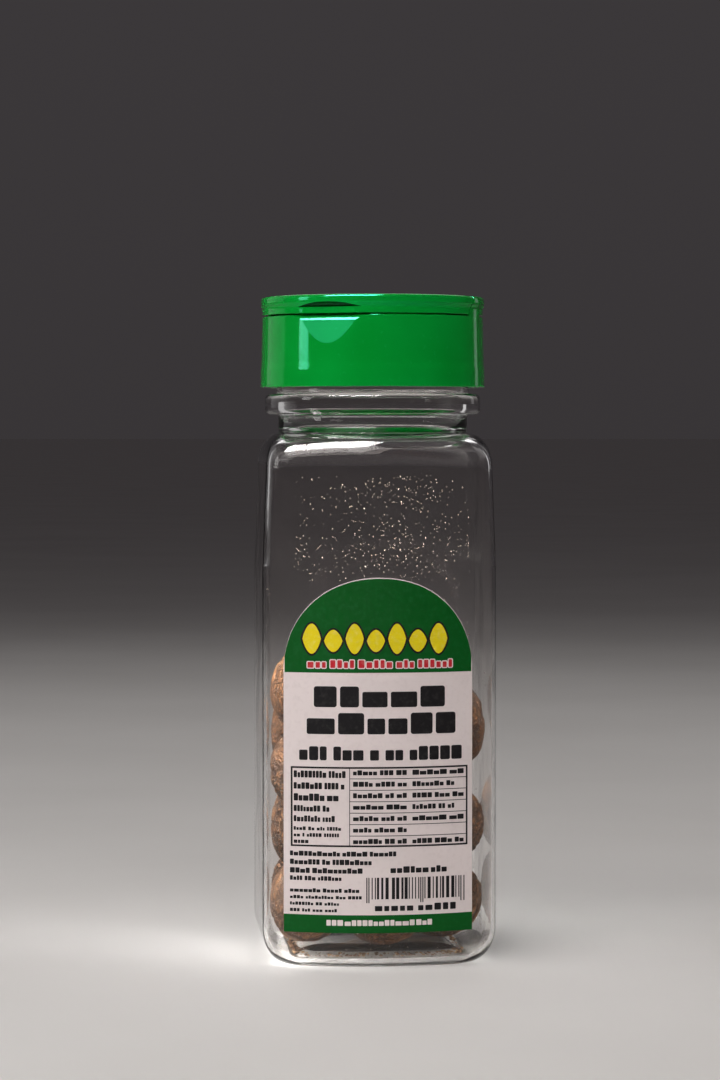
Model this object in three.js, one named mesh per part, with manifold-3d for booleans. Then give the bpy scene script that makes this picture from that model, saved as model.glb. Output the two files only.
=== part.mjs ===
// Clear square plastic jar of whole nutmegs, with a printed paper label on its bowed front
// and a screw-on cap whose top has two flip-up doors.
// Millimetres, +Z up. The label faces -Y. The origin is under the middle of the jar, on the
// surface that the jar stands on.
import * as THREE from 'three';
import { mergeVertices } from 'three/addons/utils/BufferGeometryUtils.js';
import Module from 'manifold-3d';

// Driving dimensions of the jar's body: a square with bowed front and back faces
const HALF_WIDTH = 29.0;
const HALF_DEPTH = 29.75;
const FACE_RADIUS = 59.5;
const CORNER_RADIUS = 7.0;
const WALL = 0.95;
const PANEL_TOP = 98.8;
const TAPER_TOP = 122.2;
const TAPER_INSET = 0.95;
const SHOULDER_TOP = 131.4;
const SHOULDER_POWER = 2.3;

// Base: a flat foot ring, a rounded heel and a middle that is pushed up
const HEEL_HEIGHT = 9.0;
const FOOT_INSET = 7.0;
const FOOT_CORNER = 6.0;
const FOOT_FACE_RADIUS = 70.0;
const FOOT_RING = 1.6;
const PUSH_UP = 2.0;
const PUSH_UP_MIDDLE = 0.5;
const PUSH_UP_EDGE = { out: 0.93, up: 0.7 };
const FLOOR = 1.5;
const INNER_FOOT_INSET = 0.5;

// Neck, with the bead that the jar is carried by
const NECK_RADIUS = 23.8;
const NECK_TOP_RADIUS = 24.2;
const NECK_BORE = 22.6;
const NECK_TOP = 158.6;
const BEAD_RADIUS = 27.1;
const BEAD_BOTTOM = 136.1;
const BEAD_TOP = 141.2;
const BEAD_EDGE = 1.0;

// Cap: below the step, a short slope leads out to the skirt's lower band
const CAP_TURN = -29;
const CAP_BOTTOM = 142.8;
const CAP_TOP = 165.4;
const CAP_RADIUS = 28.15;
const CAP_BORE = 25.6;
const CAP_STEP_HEIGHT = 148.8;
const CAP_STEP_IN = 0.17;
const CAP_STEP_SLOPE = 1.5;
const SEAM_RADIUS = 27.73;
const DECK_TOP = 160.4;
const DECK_BOTTOM = 158.9;
const SCOOP_DEPTH = 1.15;
const SCOOP_HEIGHT = 6.2;
const EDGE = 0.35;
const SEAM_EDGE = 0.25;

// Doors, with the bridge between them that both are hinged on. Their rim flares out to a lip.
const DOOR_GAP = 0.4;
const DOOR_PLATE = 1.2;
const DOOR_BORE = 26.0;
const FLARE_BOTTOM = 162.4;
const LIP_BOTTOM = 163.6;
const LIP_RADIUS = 28.1;
const LIP_EDGE = 1.0;
const BRIDGE_TOP_HALF = 1.2;
const BRIDGE_FOOT_HALF = 3.4;

// Thumb notch: a flat wall in the rim, a pocket at its top and a slanted ceiling over it
const NOTCH_DEPTH = 0.92;
const NOTCH_WALL_TOP = 162.3;
const NOTCH_POCKET = 0.45;
const NOTCH_SLOPE = 0.75;

// How far a cutting shape reaches past what it cuts
const PAST = 5;

// Half-moon pour opening under the front door and round sifter holes under the rear one
const POUR_RADIUS = 21.0;
const POUR_EDGE = 5.2;
const SIFTER_RADIUS = 2.5;
const SIFTER_ROWS = [
  { y: 8.5, x: [-13.5, -4.5, 4.5, 13.5] },
  { y: 16.0, x: [-9, 0, 9] },
];

// Label
const LABEL_HALF_WIDTH = 23.1;
const LABEL_MIDDLE = -1.0;
const LABEL_BOTTOM = 9.3;
const LABEL_SPRING = 73.0;
const LABEL_TOP = 96.2;
const LABEL_POWER = 2.15;
const LABEL_GAP = 0.08;
const LABEL_THICKNESS = 0.2;

// Nutmegs: the ones that show against the wall are pulled to where they are seen, and the
// others fill the room that is left under the fill line
const NUT_GAP = 0.4;
const NUT_FLOOR = 3.9;
const NUT_FILL_TOP = 72;
const NUT_COUNT = 20;
const NUT_SEED = 4646;
const NUT_RADIUS = 9.3;
const NUT_RADIUS_SPREAD = 0.8;
const NUT_LENGTH = 1.1;
const NUT_LENGTH_SPREAD = 0.12;
const SHOWN_NUTS = [
  { at: [-17.6, -14.8, 68.2], axis: [0.6, 0.5, 0.6], radius: 10.1, half: 11.4 },
  { at: [-17.7, -10.5, 49.2], axis: [0.2, 1.0, 0.3], radius: 9.6, half: 10.9 },
  { at: [-17.5, -0.5, 31.5], axis: [0.3, 0.3, 1.0], radius: 9.6, half: 11.0 },
  { at: [-17.6, -11.6, 14.6], axis: [0.2, 0.6, 1.0], radius: 10.0, half: 11.4 },
  { at: [17.6, -14.6, 59.0], axis: [-0.45, 0.2, 1.0], radius: 10.1, half: 11.8 },
  { at: [17.4, -10.5, 35.6], axis: [0.5, 1.0, 0.3], radius: 9.5, half: 10.7 },
  { at: [17.8, -10.6, 13.9], axis: [0.9, 0.3, 0.6], radius: 9.6, half: 10.7 },
  { at: [0.3, -18.6, 14.0], axis: [0.9, 0.2, 0.4], radius: 9.4, half: 10.8 },
];

// Settling: the hidden nutmegs start anywhere in a box, and all grow from half size while
// they sink a little each round
const START_BOX = { left: -17, front: -15, low: 14, across: 34, up: 48 };
const START_SIZE = 0.5;
const SETTLE_ROUNDS = 480;
const GROW_ROUNDS = 220;
const LOOSE_ROUNDS = 320;
const SINK = 0.12;
const PULL_HOME = 0.08;
const HOME_YIELD = 0.1;
const FILL_YIELD = 0.5;
const CORE_INSET = 11.5;
const CORE_TOP = 61.5;

// Faces round and along the shapes
const SIDE_STEPS = 3;
const CORNER_STEPS = 4;
const FACE_STEPS = 5;
const HEEL_STEPS = 5;
const SHOULDER_STEPS = 6;
const LATHE_STEPS = 72;
const POUR_STEPS = 18;
const SIFTER_STEPS = 12;
const LABEL_COLUMNS = 20;
const NUT_STEPS_ROUND = 12;
const NUT_STEPS_ALONG = 9;

const wasm = await Module();
wasm.setup();

const rad = (degrees) => (degrees * Math.PI) / 180;
const mix = (a, b, share) => a + (b - a) * share;

// Builds a geometry from a list of points and triangles.
function geometryFrom(points, triangles) {
  const geometry = new THREE.BufferGeometry();
  geometry.setAttribute('position', new THREE.Float32BufferAttribute(points.flat(), 3));
  geometry.setIndex(triangles.flat());
  return geometry;
}

// Joins a stack of rings with equal counts of points, and closes both ends with a fan.
function loft(rings) {
  const count = rings[0].length;
  const points = rings.flat();
  const triangles = [];
  for (let level = 0; level + 1 < rings.length; level += 1) {
    for (let k = 0; k < count; k += 1) {
      const a = level * count + k;
      const b = level * count + ((k + 1) % count);
      triangles.push([a, b, b + count], [a, b + count, a + count]);
    }
  }
  const closeEnd = (level, flip) => {
    const ring = rings[level];
    const middle = [0, 1, 2].map((i) => ring.reduce((sum, p) => sum + p[i], 0) / count);
    points.push(middle);
    for (let k = 0; k < count; k += 1) {
      const a = level * count + k;
      const b = level * count + ((k + 1) % count);
      triangles.push(flip ? [points.length - 1, b, a] : [points.length - 1, a, b]);
    }
  };
  closeEnd(0, true);
  closeEnd(rings.length - 1, false);
  return geometryFrom(points, triangles);
}

// Turns a closed geometry into a solid, with its faces pointing out.
function solidOf(geometry) {
  const bare = geometry.clone();
  bare.deleteAttribute('normal');
  bare.deleteAttribute('uv');
  const merged = mergeVertices(bare, 1e-4);
  const at = merged.getAttribute('position');
  const corner = (i) => new THREE.Vector3().fromBufferAttribute(at, i);
  const index = merged.getIndex().array;
  const triangles = [];
  let volume = 0;
  for (let i = 0; i < index.length; i += 3) {
    const [a, b, c] = [index[i], index[i + 1], index[i + 2]];
    if (a !== b && b !== c && c !== a) {
      triangles.push([a, b, c]);
      volume += corner(a).dot(corner(b).cross(corner(c)));
    }
  }
  const facing = volume < 0 ? triangles.map(([a, b, c]) => [a, c, b]) : triangles;
  const mesh = new wasm.Mesh({
    numProp: 3,
    vertProperties: new Float32Array(at.array),
    triVerts: new Uint32Array(facing.flat()),
  });
  mesh.merge();
  return new wasm.Manifold(mesh);
}

function geometryOf(solid) {
  const mesh = solid.getMesh();
  const geometry = new THREE.BufferGeometry();
  geometry.setAttribute('position', new THREE.BufferAttribute(mesh.vertProperties, 3));
  geometry.setIndex(new THREE.BufferAttribute(mesh.triVerts, 1));
  return geometry;
}

// Cuts off each [radius, height, size] corner of a profile by its size along both edges.
function chamfered(corners) {
  const towards = (from, to, size) => {
    const share = size / Math.hypot(to[0] - from[0], to[1] - from[1]);
    return [mix(from[0], to[0], share), mix(from[1], to[1], share)];
  };
  return corners.flatMap((corner, k) => {
    const [radius, height, size] = corner;
    if (size === 0) return [[radius, height]];
    return [towards(corner, corners[k - 1], size), towards(corner, corners[k + 1], size)];
  });
}

// Turns a profile of [radius, height] points round the Z axis.
function turned(profile) {
  const points = profile.map(([radius, height]) => new THREE.Vector2(radius, height));
  return new THREE.LatheGeometry(points, LATHE_STEPS).rotateX(Math.PI / 2);
}

// Extrudes a profile of [y, z] points along X, from -reach to reach.
function prism(profile, reach) {
  const shape = new THREE.Shape(profile.map(([y, z]) => new THREE.Vector2(y, z)));
  const geometry = new THREE.ExtrudeGeometry(shape, { depth: 2 * reach, bevelEnabled: false });
  const turn = new THREE.Matrix4().makeBasis(
    new THREE.Vector3(0, 1, 0),
    new THREE.Vector3(0, 0, 1),
    new THREE.Vector3(1, 0, 0),
  );
  return geometry.applyMatrix4(turn).translate(-reach, 0, 0);
}

// The jar's outline in one quadrant, from the middle of the side to just before the middle
// of the face, and mirrored to all four. A flat side, a corner arc and a bowed face meet
// without a kink.
function outline(halfWidth, halfDepth, faceRadius, cornerRadius) {
  const faceCentre = halfDepth - faceRadius;
  const cornerX = halfWidth - cornerRadius;
  const cornerY = faceCentre + Math.sqrt((faceRadius - cornerRadius) ** 2 - cornerX ** 2);
  const meeting = Math.atan2(cornerY - faceCentre, cornerX);
  const quadrant = [];
  for (let k = 0; k < SIDE_STEPS; k += 1) {
    quadrant.push([halfWidth, (cornerY * k) / SIDE_STEPS]);
  }
  for (let k = 0; k < CORNER_STEPS; k += 1) {
    const angle = (meeting * k) / CORNER_STEPS;
    quadrant.push([
      cornerX + cornerRadius * Math.cos(angle),
      cornerY + cornerRadius * Math.sin(angle),
    ]);
  }
  for (let k = 0; k < FACE_STEPS; k += 1) {
    const angle = mix(meeting, Math.PI / 2, k / FACE_STEPS);
    quadrant.push([faceRadius * Math.cos(angle), faceCentre + faceRadius * Math.sin(angle)]);
  }
  const backwards = [[0, halfDepth], ...quadrant.slice(1).reverse()];
  const signs = [[1, 1], [-1, 1], [-1, -1], [1, -1]];
  return signs.flatMap(([signX, signY], turn) => {
    const quarter = turn % 2 === 0 ? quadrant : backwards;
    return quarter.map(([x, y]) => [signX * x, signY * y]);
  });
}

const panelOutline = (inset) =>
  outline(HALF_WIDTH - inset, HALF_DEPTH - inset, FACE_RADIUS - inset, CORNER_RADIUS - inset);
const footOutline = (inset) =>
  outline(
    HALF_WIDTH - FOOT_INSET - inset,
    HALF_DEPTH - FOOT_INSET - inset,
    FOOT_FACE_RADIUS,
    FOOT_CORNER - inset,
  );
const RING_COUNT = 4 * (SIDE_STEPS + CORNER_STEPS + FACE_STEPS);
const circle = (radius) =>
  Array.from({ length: RING_COUNT }, (_, k) => {
    const angle = (2 * Math.PI * k) / RING_COUNT;
    return [radius * Math.cos(angle), radius * Math.sin(angle)];
  });
const raised = (ring, height) => ring.map(([x, y]) => [x, y, height]);
const scaled = (ring, factor) => ring.map(([x, y]) => [x * factor, y * factor]);
const between = (from, to, share) =>
  from.map(([x, y], k) => [mix(x, to[k][0], share), mix(y, to[k][1], share)]);

// Heel from the foot ring up to the body's wall, as a quarter of an ellipse.
function heelRings(foot, body, low) {
  return Array.from({ length: HEEL_STEPS + 1 }, (_, k) => {
    const angle = ((Math.PI / 2) * k) / HEEL_STEPS;
    const height = mix(low, HEEL_HEIGHT, 1 - Math.cos(angle));
    return raised(between(foot, body, Math.sin(angle)), height);
  });
}

// Shoulder from the square body in to the round neck, fuller than an ellipse.
function shoulderRings(body, neck, high) {
  return Array.from({ length: SHOULDER_STEPS + 1 }, (_, k) => {
    const angle = ((Math.PI / 2) * k) / SHOULDER_STEPS;
    const inwards = 1 - Math.cos(angle) ** (2 / SHOULDER_POWER);
    const upwards = Math.sin(angle) ** (2 / SHOULDER_POWER);
    return raised(between(body, neck, inwards), mix(TAPER_TOP, high, upwards));
  });
}

// The jar is one skin: up the outside from under the base, and down the inside to the floor.
function jarGeometry() {
  const footRing = footOutline(FOOT_RING);
  const outside = [
    raised(scaled(footRing, PUSH_UP_MIDDLE), PUSH_UP),
    raised(scaled(footRing, PUSH_UP_EDGE.out), PUSH_UP * PUSH_UP_EDGE.up),
    raised(footRing, 0),
    ...heelRings(footOutline(0), panelOutline(0), 0),
    raised(panelOutline(0), PANEL_TOP),
    ...shoulderRings(panelOutline(TAPER_INSET), circle(NECK_RADIUS), SHOULDER_TOP),
  ];
  const neckProfile = chamfered([
    [NECK_RADIUS, BEAD_BOTTOM, 0],
    [BEAD_RADIUS, BEAD_BOTTOM, BEAD_EDGE],
    [BEAD_RADIUS, BEAD_TOP, BEAD_EDGE],
    [NECK_TOP_RADIUS, BEAD_TOP, 0],
    [NECK_TOP_RADIUS, NECK_TOP, EDGE],
    [NECK_BORE, NECK_TOP, EDGE],
    [NECK_BORE, BEAD_TOP, 0],
  ]);
  const neck = neckProfile.map(([radius, height]) => raised(circle(radius), height));
  const innerFoot = footOutline(INNER_FOOT_INSET);
  const innerShoulder = panelOutline(TAPER_INSET + WALL);
  const inside = [
    raised(scaled(innerFoot, PUSH_UP_MIDDLE), PUSH_UP + FLOOR),
    ...heelRings(innerFoot, panelOutline(WALL), FLOOR),
    raised(panelOutline(WALL), PANEL_TOP),
    ...shoulderRings(innerShoulder, circle(NECK_BORE), SHOULDER_TOP - WALL),
  ].reverse();
  return loft([...outside, ...neck, ...inside]);
}

// Where the slanted flank of the bridge is at a height, from the foot of the doors up.
const flankAt = (height) =>
  mix(BRIDGE_FOOT_HALF, BRIDGE_TOP_HALF, (height - DECK_TOP) / (CAP_TOP - DECK_TOP));

// The outer edge of the lid, from the seam up over the lip to the top.
const lidEdge = [
  [SEAM_RADIUS, FLARE_BOTTOM, 0],
  [LIP_RADIUS, LIP_BOTTOM, 0],
  [LIP_RADIUS, CAP_TOP, LIP_EDGE],
  [0, CAP_TOP, 0],
];

function capSolid() {
  const shell = solidOf(
    turned(
      chamfered([
        [0, DECK_BOTTOM, 0],
        [CAP_BORE, DECK_BOTTOM, 0],
        [CAP_BORE, CAP_BOTTOM, EDGE],
        [CAP_RADIUS, CAP_BOTTOM, EDGE],
        [CAP_RADIUS, CAP_STEP_HEIGHT - CAP_STEP_SLOPE, 0],
        [CAP_RADIUS - CAP_STEP_IN, CAP_STEP_HEIGHT, 0],
        [SEAM_RADIUS, DECK_TOP, SEAM_EDGE],
        [0, DECK_TOP, 0],
      ]),
    ),
  );
  const bridgeBar = solidOf(
    prism(
      [
        [-flankAt(DECK_BOTTOM), DECK_BOTTOM],
        [flankAt(DECK_BOTTOM), DECK_BOTTOM],
        [BRIDGE_TOP_HALF, CAP_TOP],
        [-BRIDGE_TOP_HALF, CAP_TOP],
      ],
      CAP_RADIUS,
    ),
  );
  const bridgeReach = solidOf(
    turned(chamfered([[0, DECK_BOTTOM, 0], [SEAM_RADIUS, DECK_BOTTOM, 0], ...lidEdge])),
  );
  const scoop = solidOf(
    prism(
      [
        [-SEAM_RADIUS + SCOOP_DEPTH, DECK_TOP + PAST],
        [-SEAM_RADIUS + SCOOP_DEPTH, DECK_TOP],
        [-SEAM_RADIUS - SCOOP_DEPTH, DECK_TOP - 2 * SCOOP_HEIGHT],
        [-SEAM_RADIUS - PAST, DECK_TOP - 2 * SCOOP_HEIGHT],
        [-SEAM_RADIUS - PAST, DECK_TOP + PAST],
      ],
      2 * SCOOP_HEIGHT,
    ),
  );
  const farScoop = scoop.rotate([0, 0, 180]);
  return shell
    .add(bridgeBar.intersect(bridgeReach))
    .subtract(scoop)
    .subtract(farScoop)
    .subtract(pourOpening())
    .subtract(sifterHoles());
}

// Half-moon opening, as a straight edge closed by an arc.
function pourOpening() {
  const start = Math.asin(POUR_EDGE / POUR_RADIUS);
  const shape = new THREE.Shape();
  shape.absarc(0, 0, POUR_RADIUS, Math.PI + start, 2 * Math.PI - start, false);
  shape.closePath();
  const depth = DECK_TOP - DECK_BOTTOM + 2 * PAST;
  const options = { depth, bevelEnabled: false, curveSegments: POUR_STEPS };
  return solidOf(new THREE.ExtrudeGeometry(shape, options).translate(0, 0, DECK_BOTTOM - PAST));
}

function sifterHoles() {
  const places = SIFTER_ROWS.flatMap((row) => row.x.map((x) => [x, row.y]));
  const depth = DECK_TOP - DECK_BOTTOM + 2 * PAST;
  const middle = (DECK_TOP + DECK_BOTTOM) / 2;
  const holes = places.map(([x, y]) =>
    solidOf(
      new THREE.CylinderGeometry(SIFTER_RADIUS, SIFTER_RADIUS, depth, SIFTER_STEPS)
        .rotateX(Math.PI / 2)
        .translate(x, y, middle),
    ),
  );
  return holes.reduce((all, hole) => all.add(hole));
}

// One door: half of a shallow lid with its thumb notch, hinged at the bridge.
function doorGeometry() {
  const rimBottom = DECK_TOP + DOOR_GAP;
  const lid = solidOf(
    turned(
      chamfered([
        [0, CAP_TOP - DOOR_PLATE, 0],
        [DOOR_BORE, CAP_TOP - DOOR_PLATE, 0],
        [DOOR_BORE, rimBottom, 0],
        [SEAM_RADIUS, rimBottom, SEAM_EDGE],
        ...lidEdge,
      ]),
    ),
  );
  const half = solidOf(
    prism(
      [
        [-flankAt(DECK_BOTTOM) - DOOR_GAP, DECK_BOTTOM],
        [-flankAt(CAP_TOP + 1) - DOOR_GAP, CAP_TOP + 1],
        [-CAP_RADIUS - PAST, CAP_TOP + 1],
        [-CAP_RADIUS - PAST, DECK_BOTTOM],
      ],
      CAP_RADIUS + PAST,
    ),
  );
  const wallAt = -SEAM_RADIUS + NOTCH_DEPTH;
  const notch = solidOf(
    prism(
      [
        [wallAt, rimBottom - PAST],
        [wallAt, NOTCH_WALL_TOP],
        [wallAt + NOTCH_POCKET, NOTCH_WALL_TOP],
        [wallAt - PAST, NOTCH_WALL_TOP + NOTCH_SLOPE * (NOTCH_POCKET + PAST)],
        [wallAt - PAST, rimBottom - PAST],
      ],
      CAP_RADIUS / 2,
    ),
  );
  return geometryOf(lid.intersect(half).subtract(notch));
}

function labelGeometry() {
  const faceCentre = FACE_RADIUS - HALF_DEPTH;
  const back = FACE_RADIUS + LABEL_GAP;
  const front = back + LABEL_THICKNESS;
  const sections = Array.from({ length: LABEL_COLUMNS + 1 }, (_, k) => {
    const across = -Math.cos((Math.PI * k) / LABEL_COLUMNS);
    const x = LABEL_MIDDLE + LABEL_HALF_WIDTH * across;
    const rise = Math.max(0, 1 - Math.abs(across) ** LABEL_POWER) ** (1 / LABEL_POWER);
    const top = mix(LABEL_SPRING, LABEL_TOP, rise);
    const lean = Math.asin(x / FACE_RADIUS);
    const place = (radius, z) => [
      radius * Math.sin(lean),
      faceCentre - radius * Math.cos(lean),
      z,
    ];
    return [
      place(front, LABEL_BOTTOM),
      place(front, top),
      place(back, top),
      place(back, LABEL_BOTTOM),
    ];
  });
  return geometryOf(solidOf(loft(sections)));
}

// A repeatable row of numbers from 0 to 1.
function seededNumbers(seed) {
  let state = seed;
  return () => {
    state = (state * 16807) % 2147483647;
    return state / 2147483647;
  };
}

const lengthOf = ([x, y, z]) => Math.sqrt(x * x + y * y + z * z);
const unit = (axis) => axis.map((value) => value / lengthOf(axis));

// The centres of the two balls that stand for a nutmeg while it settles.
function ballsOf(nut, size) {
  const reach = (nut.half - nut.radius) * size;
  return [-reach, reach].map((along) => nut.axis.map((value, i) => nut.at[i] + value * along));
}

// Moves a nutmeg back off the side walls, the bowed walls, the floor and the fill line.
function keepInside(nut, size) {
  const radius = nut.radius * size;
  const across = HALF_WIDTH - WALL - NUT_GAP - radius;
  const bowed = FACE_RADIUS - WALL - NUT_GAP - radius;
  for (const end of [0, 1]) {
    const [x] = ballsOf(nut, size)[end];
    if (x > across) nut.at[0] -= x - across;
    if (x < -across) nut.at[0] -= x + across;
    for (const centre of [FACE_RADIUS - HALF_DEPTH, HALF_DEPTH - FACE_RADIUS]) {
      const ball = ballsOf(nut, size)[end];
      const dy = ball[1] - centre;
      const far = Math.sqrt(ball[0] * ball[0] + dy * dy);
      if (far > bowed) {
        nut.at[0] -= (ball[0] / far) * (far - bowed);
        nut.at[1] -= (dy / far) * (far - bowed);
      }
    }
    const height = ballsOf(nut, size)[end][2];
    const low = height - radius - NUT_FLOOR;
    const high = height + radius - NUT_FILL_TOP;
    if (low < 0) nut.at[2] -= low;
    if (high > 0 && !nut.home) nut.at[2] -= high * FILL_YIELD;
  }
}

// How much of a push the first of two nutmegs takes: a shown one gives way little.
function yieldOf(one, other) {
  if (one.home && !other.home) return HOME_YIELD;
  if (other.home && !one.home) return 1 - HOME_YIELD;
  return 0.5;
}

function pushApart(one, other, size) {
  for (const first of [0, 1]) {
    for (const second of [0, 1]) {
      const from = ballsOf(one, size)[first];
      const to = ballsOf(other, size)[second];
      const apart = from.map((value, i) => to[i] - value);
      const far = lengthOf(apart);
      const over = (one.radius + other.radius) * size - far;
      if (over > 0) {
        for (const i of [0, 1, 2]) {
          one.at[i] -= (apart[i] / far) * over * yieldOf(one, other);
          other.at[i] += (apart[i] / far) * over * yieldOf(other, one);
        }
      }
    }
  }
}

// Fills the jar: each nutmeg pushes off the others and off the wall until all fit.
function settledNuts() {
  const random = seededNumbers(NUT_SEED);
  const nuts = SHOWN_NUTS.map((nut) => ({
    ...nut,
    at: [...nut.at],
    axis: unit(nut.axis),
    home: nut.at,
  }));
  while (nuts.length < NUT_COUNT) {
    const radius = NUT_RADIUS + NUT_RADIUS_SPREAD * random();
    nuts.push({
      at: [
        START_BOX.left + START_BOX.across * random(),
        START_BOX.front + START_BOX.across * random(),
        START_BOX.low + START_BOX.up * random(),
      ],
      axis: unit([random() - 0.5, random() - 0.5, random() - 0.5]),
      radius,
      half: radius * (NUT_LENGTH + NUT_LENGTH_SPREAD * random()),
      home: null,
    });
  }
  for (let round = 0; round < SETTLE_ROUNDS; round += 1) {
    const size = Math.min(1, START_SIZE + ((1 - START_SIZE) * round) / GROW_ROUNDS);
    if (round < LOOSE_ROUNDS) {
      for (const nut of nuts) {
        nut.at[2] -= SINK;
        if (nut.home) nut.at = nut.at.map((value, i) => value + (nut.home[i] - value) * PULL_HOME);
      }
    }
    for (let i = 0; i < nuts.length; i += 1) {
      for (let j = i + 1; j < nuts.length; j += 1) pushApart(nuts[i], nuts[j], size);
    }
    nuts.forEach((nut) => keepInside(nut, size));
  }
  return nuts;
}

// Keeps the outermost shell of a mesh, so that no hollow stays sealed in the heap.
function outerShell(geometry) {
  const index = geometry.getIndex().array;
  const at = geometry.getAttribute('position');
  const corner = (i) => new THREE.Vector3().fromBufferAttribute(at, i);
  const parent = Array.from({ length: at.count }, (_, k) => k);
  const rootOf = (start) => {
    let k = start;
    while (parent[k] !== k) k = parent[k];
    parent[start] = k;
    return k;
  };
  const triangles = [];
  for (let i = 0; i < index.length; i += 3) {
    const [a, b, c] = [index[i], index[i + 1], index[i + 2]];
    triangles.push([a, b, c]);
    parent[rootOf(a)] = rootOf(b);
    parent[rootOf(b)] = rootOf(c);
  }
  const volumes = new Map();
  for (const [a, b, c] of triangles) {
    const part = corner(a).dot(corner(b).cross(corner(c)));
    volumes.set(rootOf(a), (volumes.get(rootOf(a)) ?? 0) + part);
  }
  const [largest] = [...volumes].sort((one, other) => other[1] - one[1])[0];
  const kept = triangles.filter(([a]) => rootOf(a) === largest);
  const used = [...new Set(kept.flat())];
  const renamed = new Map(used.map((old, k) => [old, k]));
  return geometryFrom(
    used.map((k) => corner(k).toArray()),
    kept.map((triangle) => triangle.map((k) => renamed.get(k))),
  );
}

// The heap: a smaller core that the nutmegs are fused on.
function nutmegsGeometry() {
  const up = new THREE.Vector3(0, 1, 0);
  const pieces = settledNuts().map((nut) => {
    const turn = new THREE.Quaternion().setFromUnitVectors(up, new THREE.Vector3(...nut.axis));
    return solidOf(
      new THREE.SphereGeometry(1, NUT_STEPS_ROUND, NUT_STEPS_ALONG)
        .scale(nut.radius, nut.half, nut.radius)
        .applyQuaternion(turn)
        .translate(...nut.at),
    );
  });
  const coreOutline = scaled(panelOutline(0), 1 - CORE_INSET / HALF_WIDTH);
  const core = solidOf(
    loft([raised(coreOutline, NUT_FLOOR + CORE_INSET / 2), raised(coreOutline, CORE_TOP)]),
  );
  return outerShell(geometryOf(pieces.reduce((all, nut) => all.add(nut), core)));
}

function material(color, roughness) {
  return new THREE.MeshStandardMaterial({ color, roughness, metalness: 0 });
}

const clearPlastic = material(0xd9dcdc, 0.08);
const greenPlastic = material(0x0a8f3c, 0.28);
const paper = material(0xe9e6e4, 0.45);
const nutShell = material(0x8a6a4c, 0.8);

function piece(name, geometry, look) {
  const mesh = new THREE.Mesh(geometry, look);
  mesh.name = name;
  return mesh;
}

const jar = piece('jar', geometryOf(solidOf(jarGeometry())), clearPlastic);
const cap = piece('cap', geometryOf(capSolid()), greenPlastic);
const frontDoor = piece('front_door', doorGeometry(), greenPlastic);
const rearDoor = piece('rear_door', doorGeometry(), greenPlastic);
rearDoor.rotation.z = Math.PI;
const label = piece('label', labelGeometry(), paper);
const nutmegs = piece('nutmegs', nutmegsGeometry(), nutShell);

const closure = new THREE.Group();
closure.rotation.z = rad(CAP_TURN);
closure.add(cap, frontDoor, rearDoor);

const group = new THREE.Group();
group.add(jar, label, nutmegs, closure);

export default group;
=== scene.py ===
import math

import bmesh
import bpy
from mathutils import Matrix, Vector, noise


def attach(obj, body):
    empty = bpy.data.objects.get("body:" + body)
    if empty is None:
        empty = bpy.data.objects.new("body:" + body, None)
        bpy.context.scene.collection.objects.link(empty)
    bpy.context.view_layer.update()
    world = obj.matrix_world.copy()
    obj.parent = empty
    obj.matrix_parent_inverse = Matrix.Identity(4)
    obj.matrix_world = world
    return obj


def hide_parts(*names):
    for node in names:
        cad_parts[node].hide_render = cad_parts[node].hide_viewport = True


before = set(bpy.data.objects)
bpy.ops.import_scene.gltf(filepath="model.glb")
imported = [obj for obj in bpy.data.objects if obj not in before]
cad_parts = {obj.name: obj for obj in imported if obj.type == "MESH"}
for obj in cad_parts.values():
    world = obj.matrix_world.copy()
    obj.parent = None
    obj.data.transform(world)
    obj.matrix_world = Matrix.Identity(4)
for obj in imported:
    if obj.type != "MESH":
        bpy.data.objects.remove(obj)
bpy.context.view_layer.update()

# The jar
# One blow-moulded piece of clear plastic about 1 mm thick. It is square with a bowed front
# and back, stands on a foot ring, and closes at the shoulder to a round neck with a bead.
MM = 0.001
HALF_WIDTH, HALF_DEPTH = 29.0, 29.75
FACE_RADIUS, CORNER_RADIUS = 59.5, 7.0
WALL = 0.95
PANEL_TOP, TAPER_TOP, TAPER_INSET = 98.8, 122.2, 0.95
SHOULDER_TOP, SHOULDER_POWER = 131.4, 2.3
HEEL_HEIGHT, FOOT_INSET = 9.0, 7.0
FOOT_CORNER, FOOT_FACE_RADIUS, FOOT_RING = 6.0, 70.0, 1.6
PUSH_UP, FLOOR = 2.0, 1.5
NECK_RADIUS, NECK_TOP_RADIUS, NECK_BORE = 23.8, 24.2, 22.6
NECK_TOP = 158.6
BEAD_RADIUS, BEAD_BOTTOM, BEAD_TOP = 27.1, 136.1, 141.2
SIDE_STEPS, CORNER_STEPS, FACE_STEPS = 8, 12, 16
RING_COUNT = 4 * (SIDE_STEPS + CORNER_STEPS + FACE_STEPS)
HEEL_RINGS, SHOULDER_RINGS = 14, 16


def mix(a, b, share):
    return a + (b - a) * share


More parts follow.
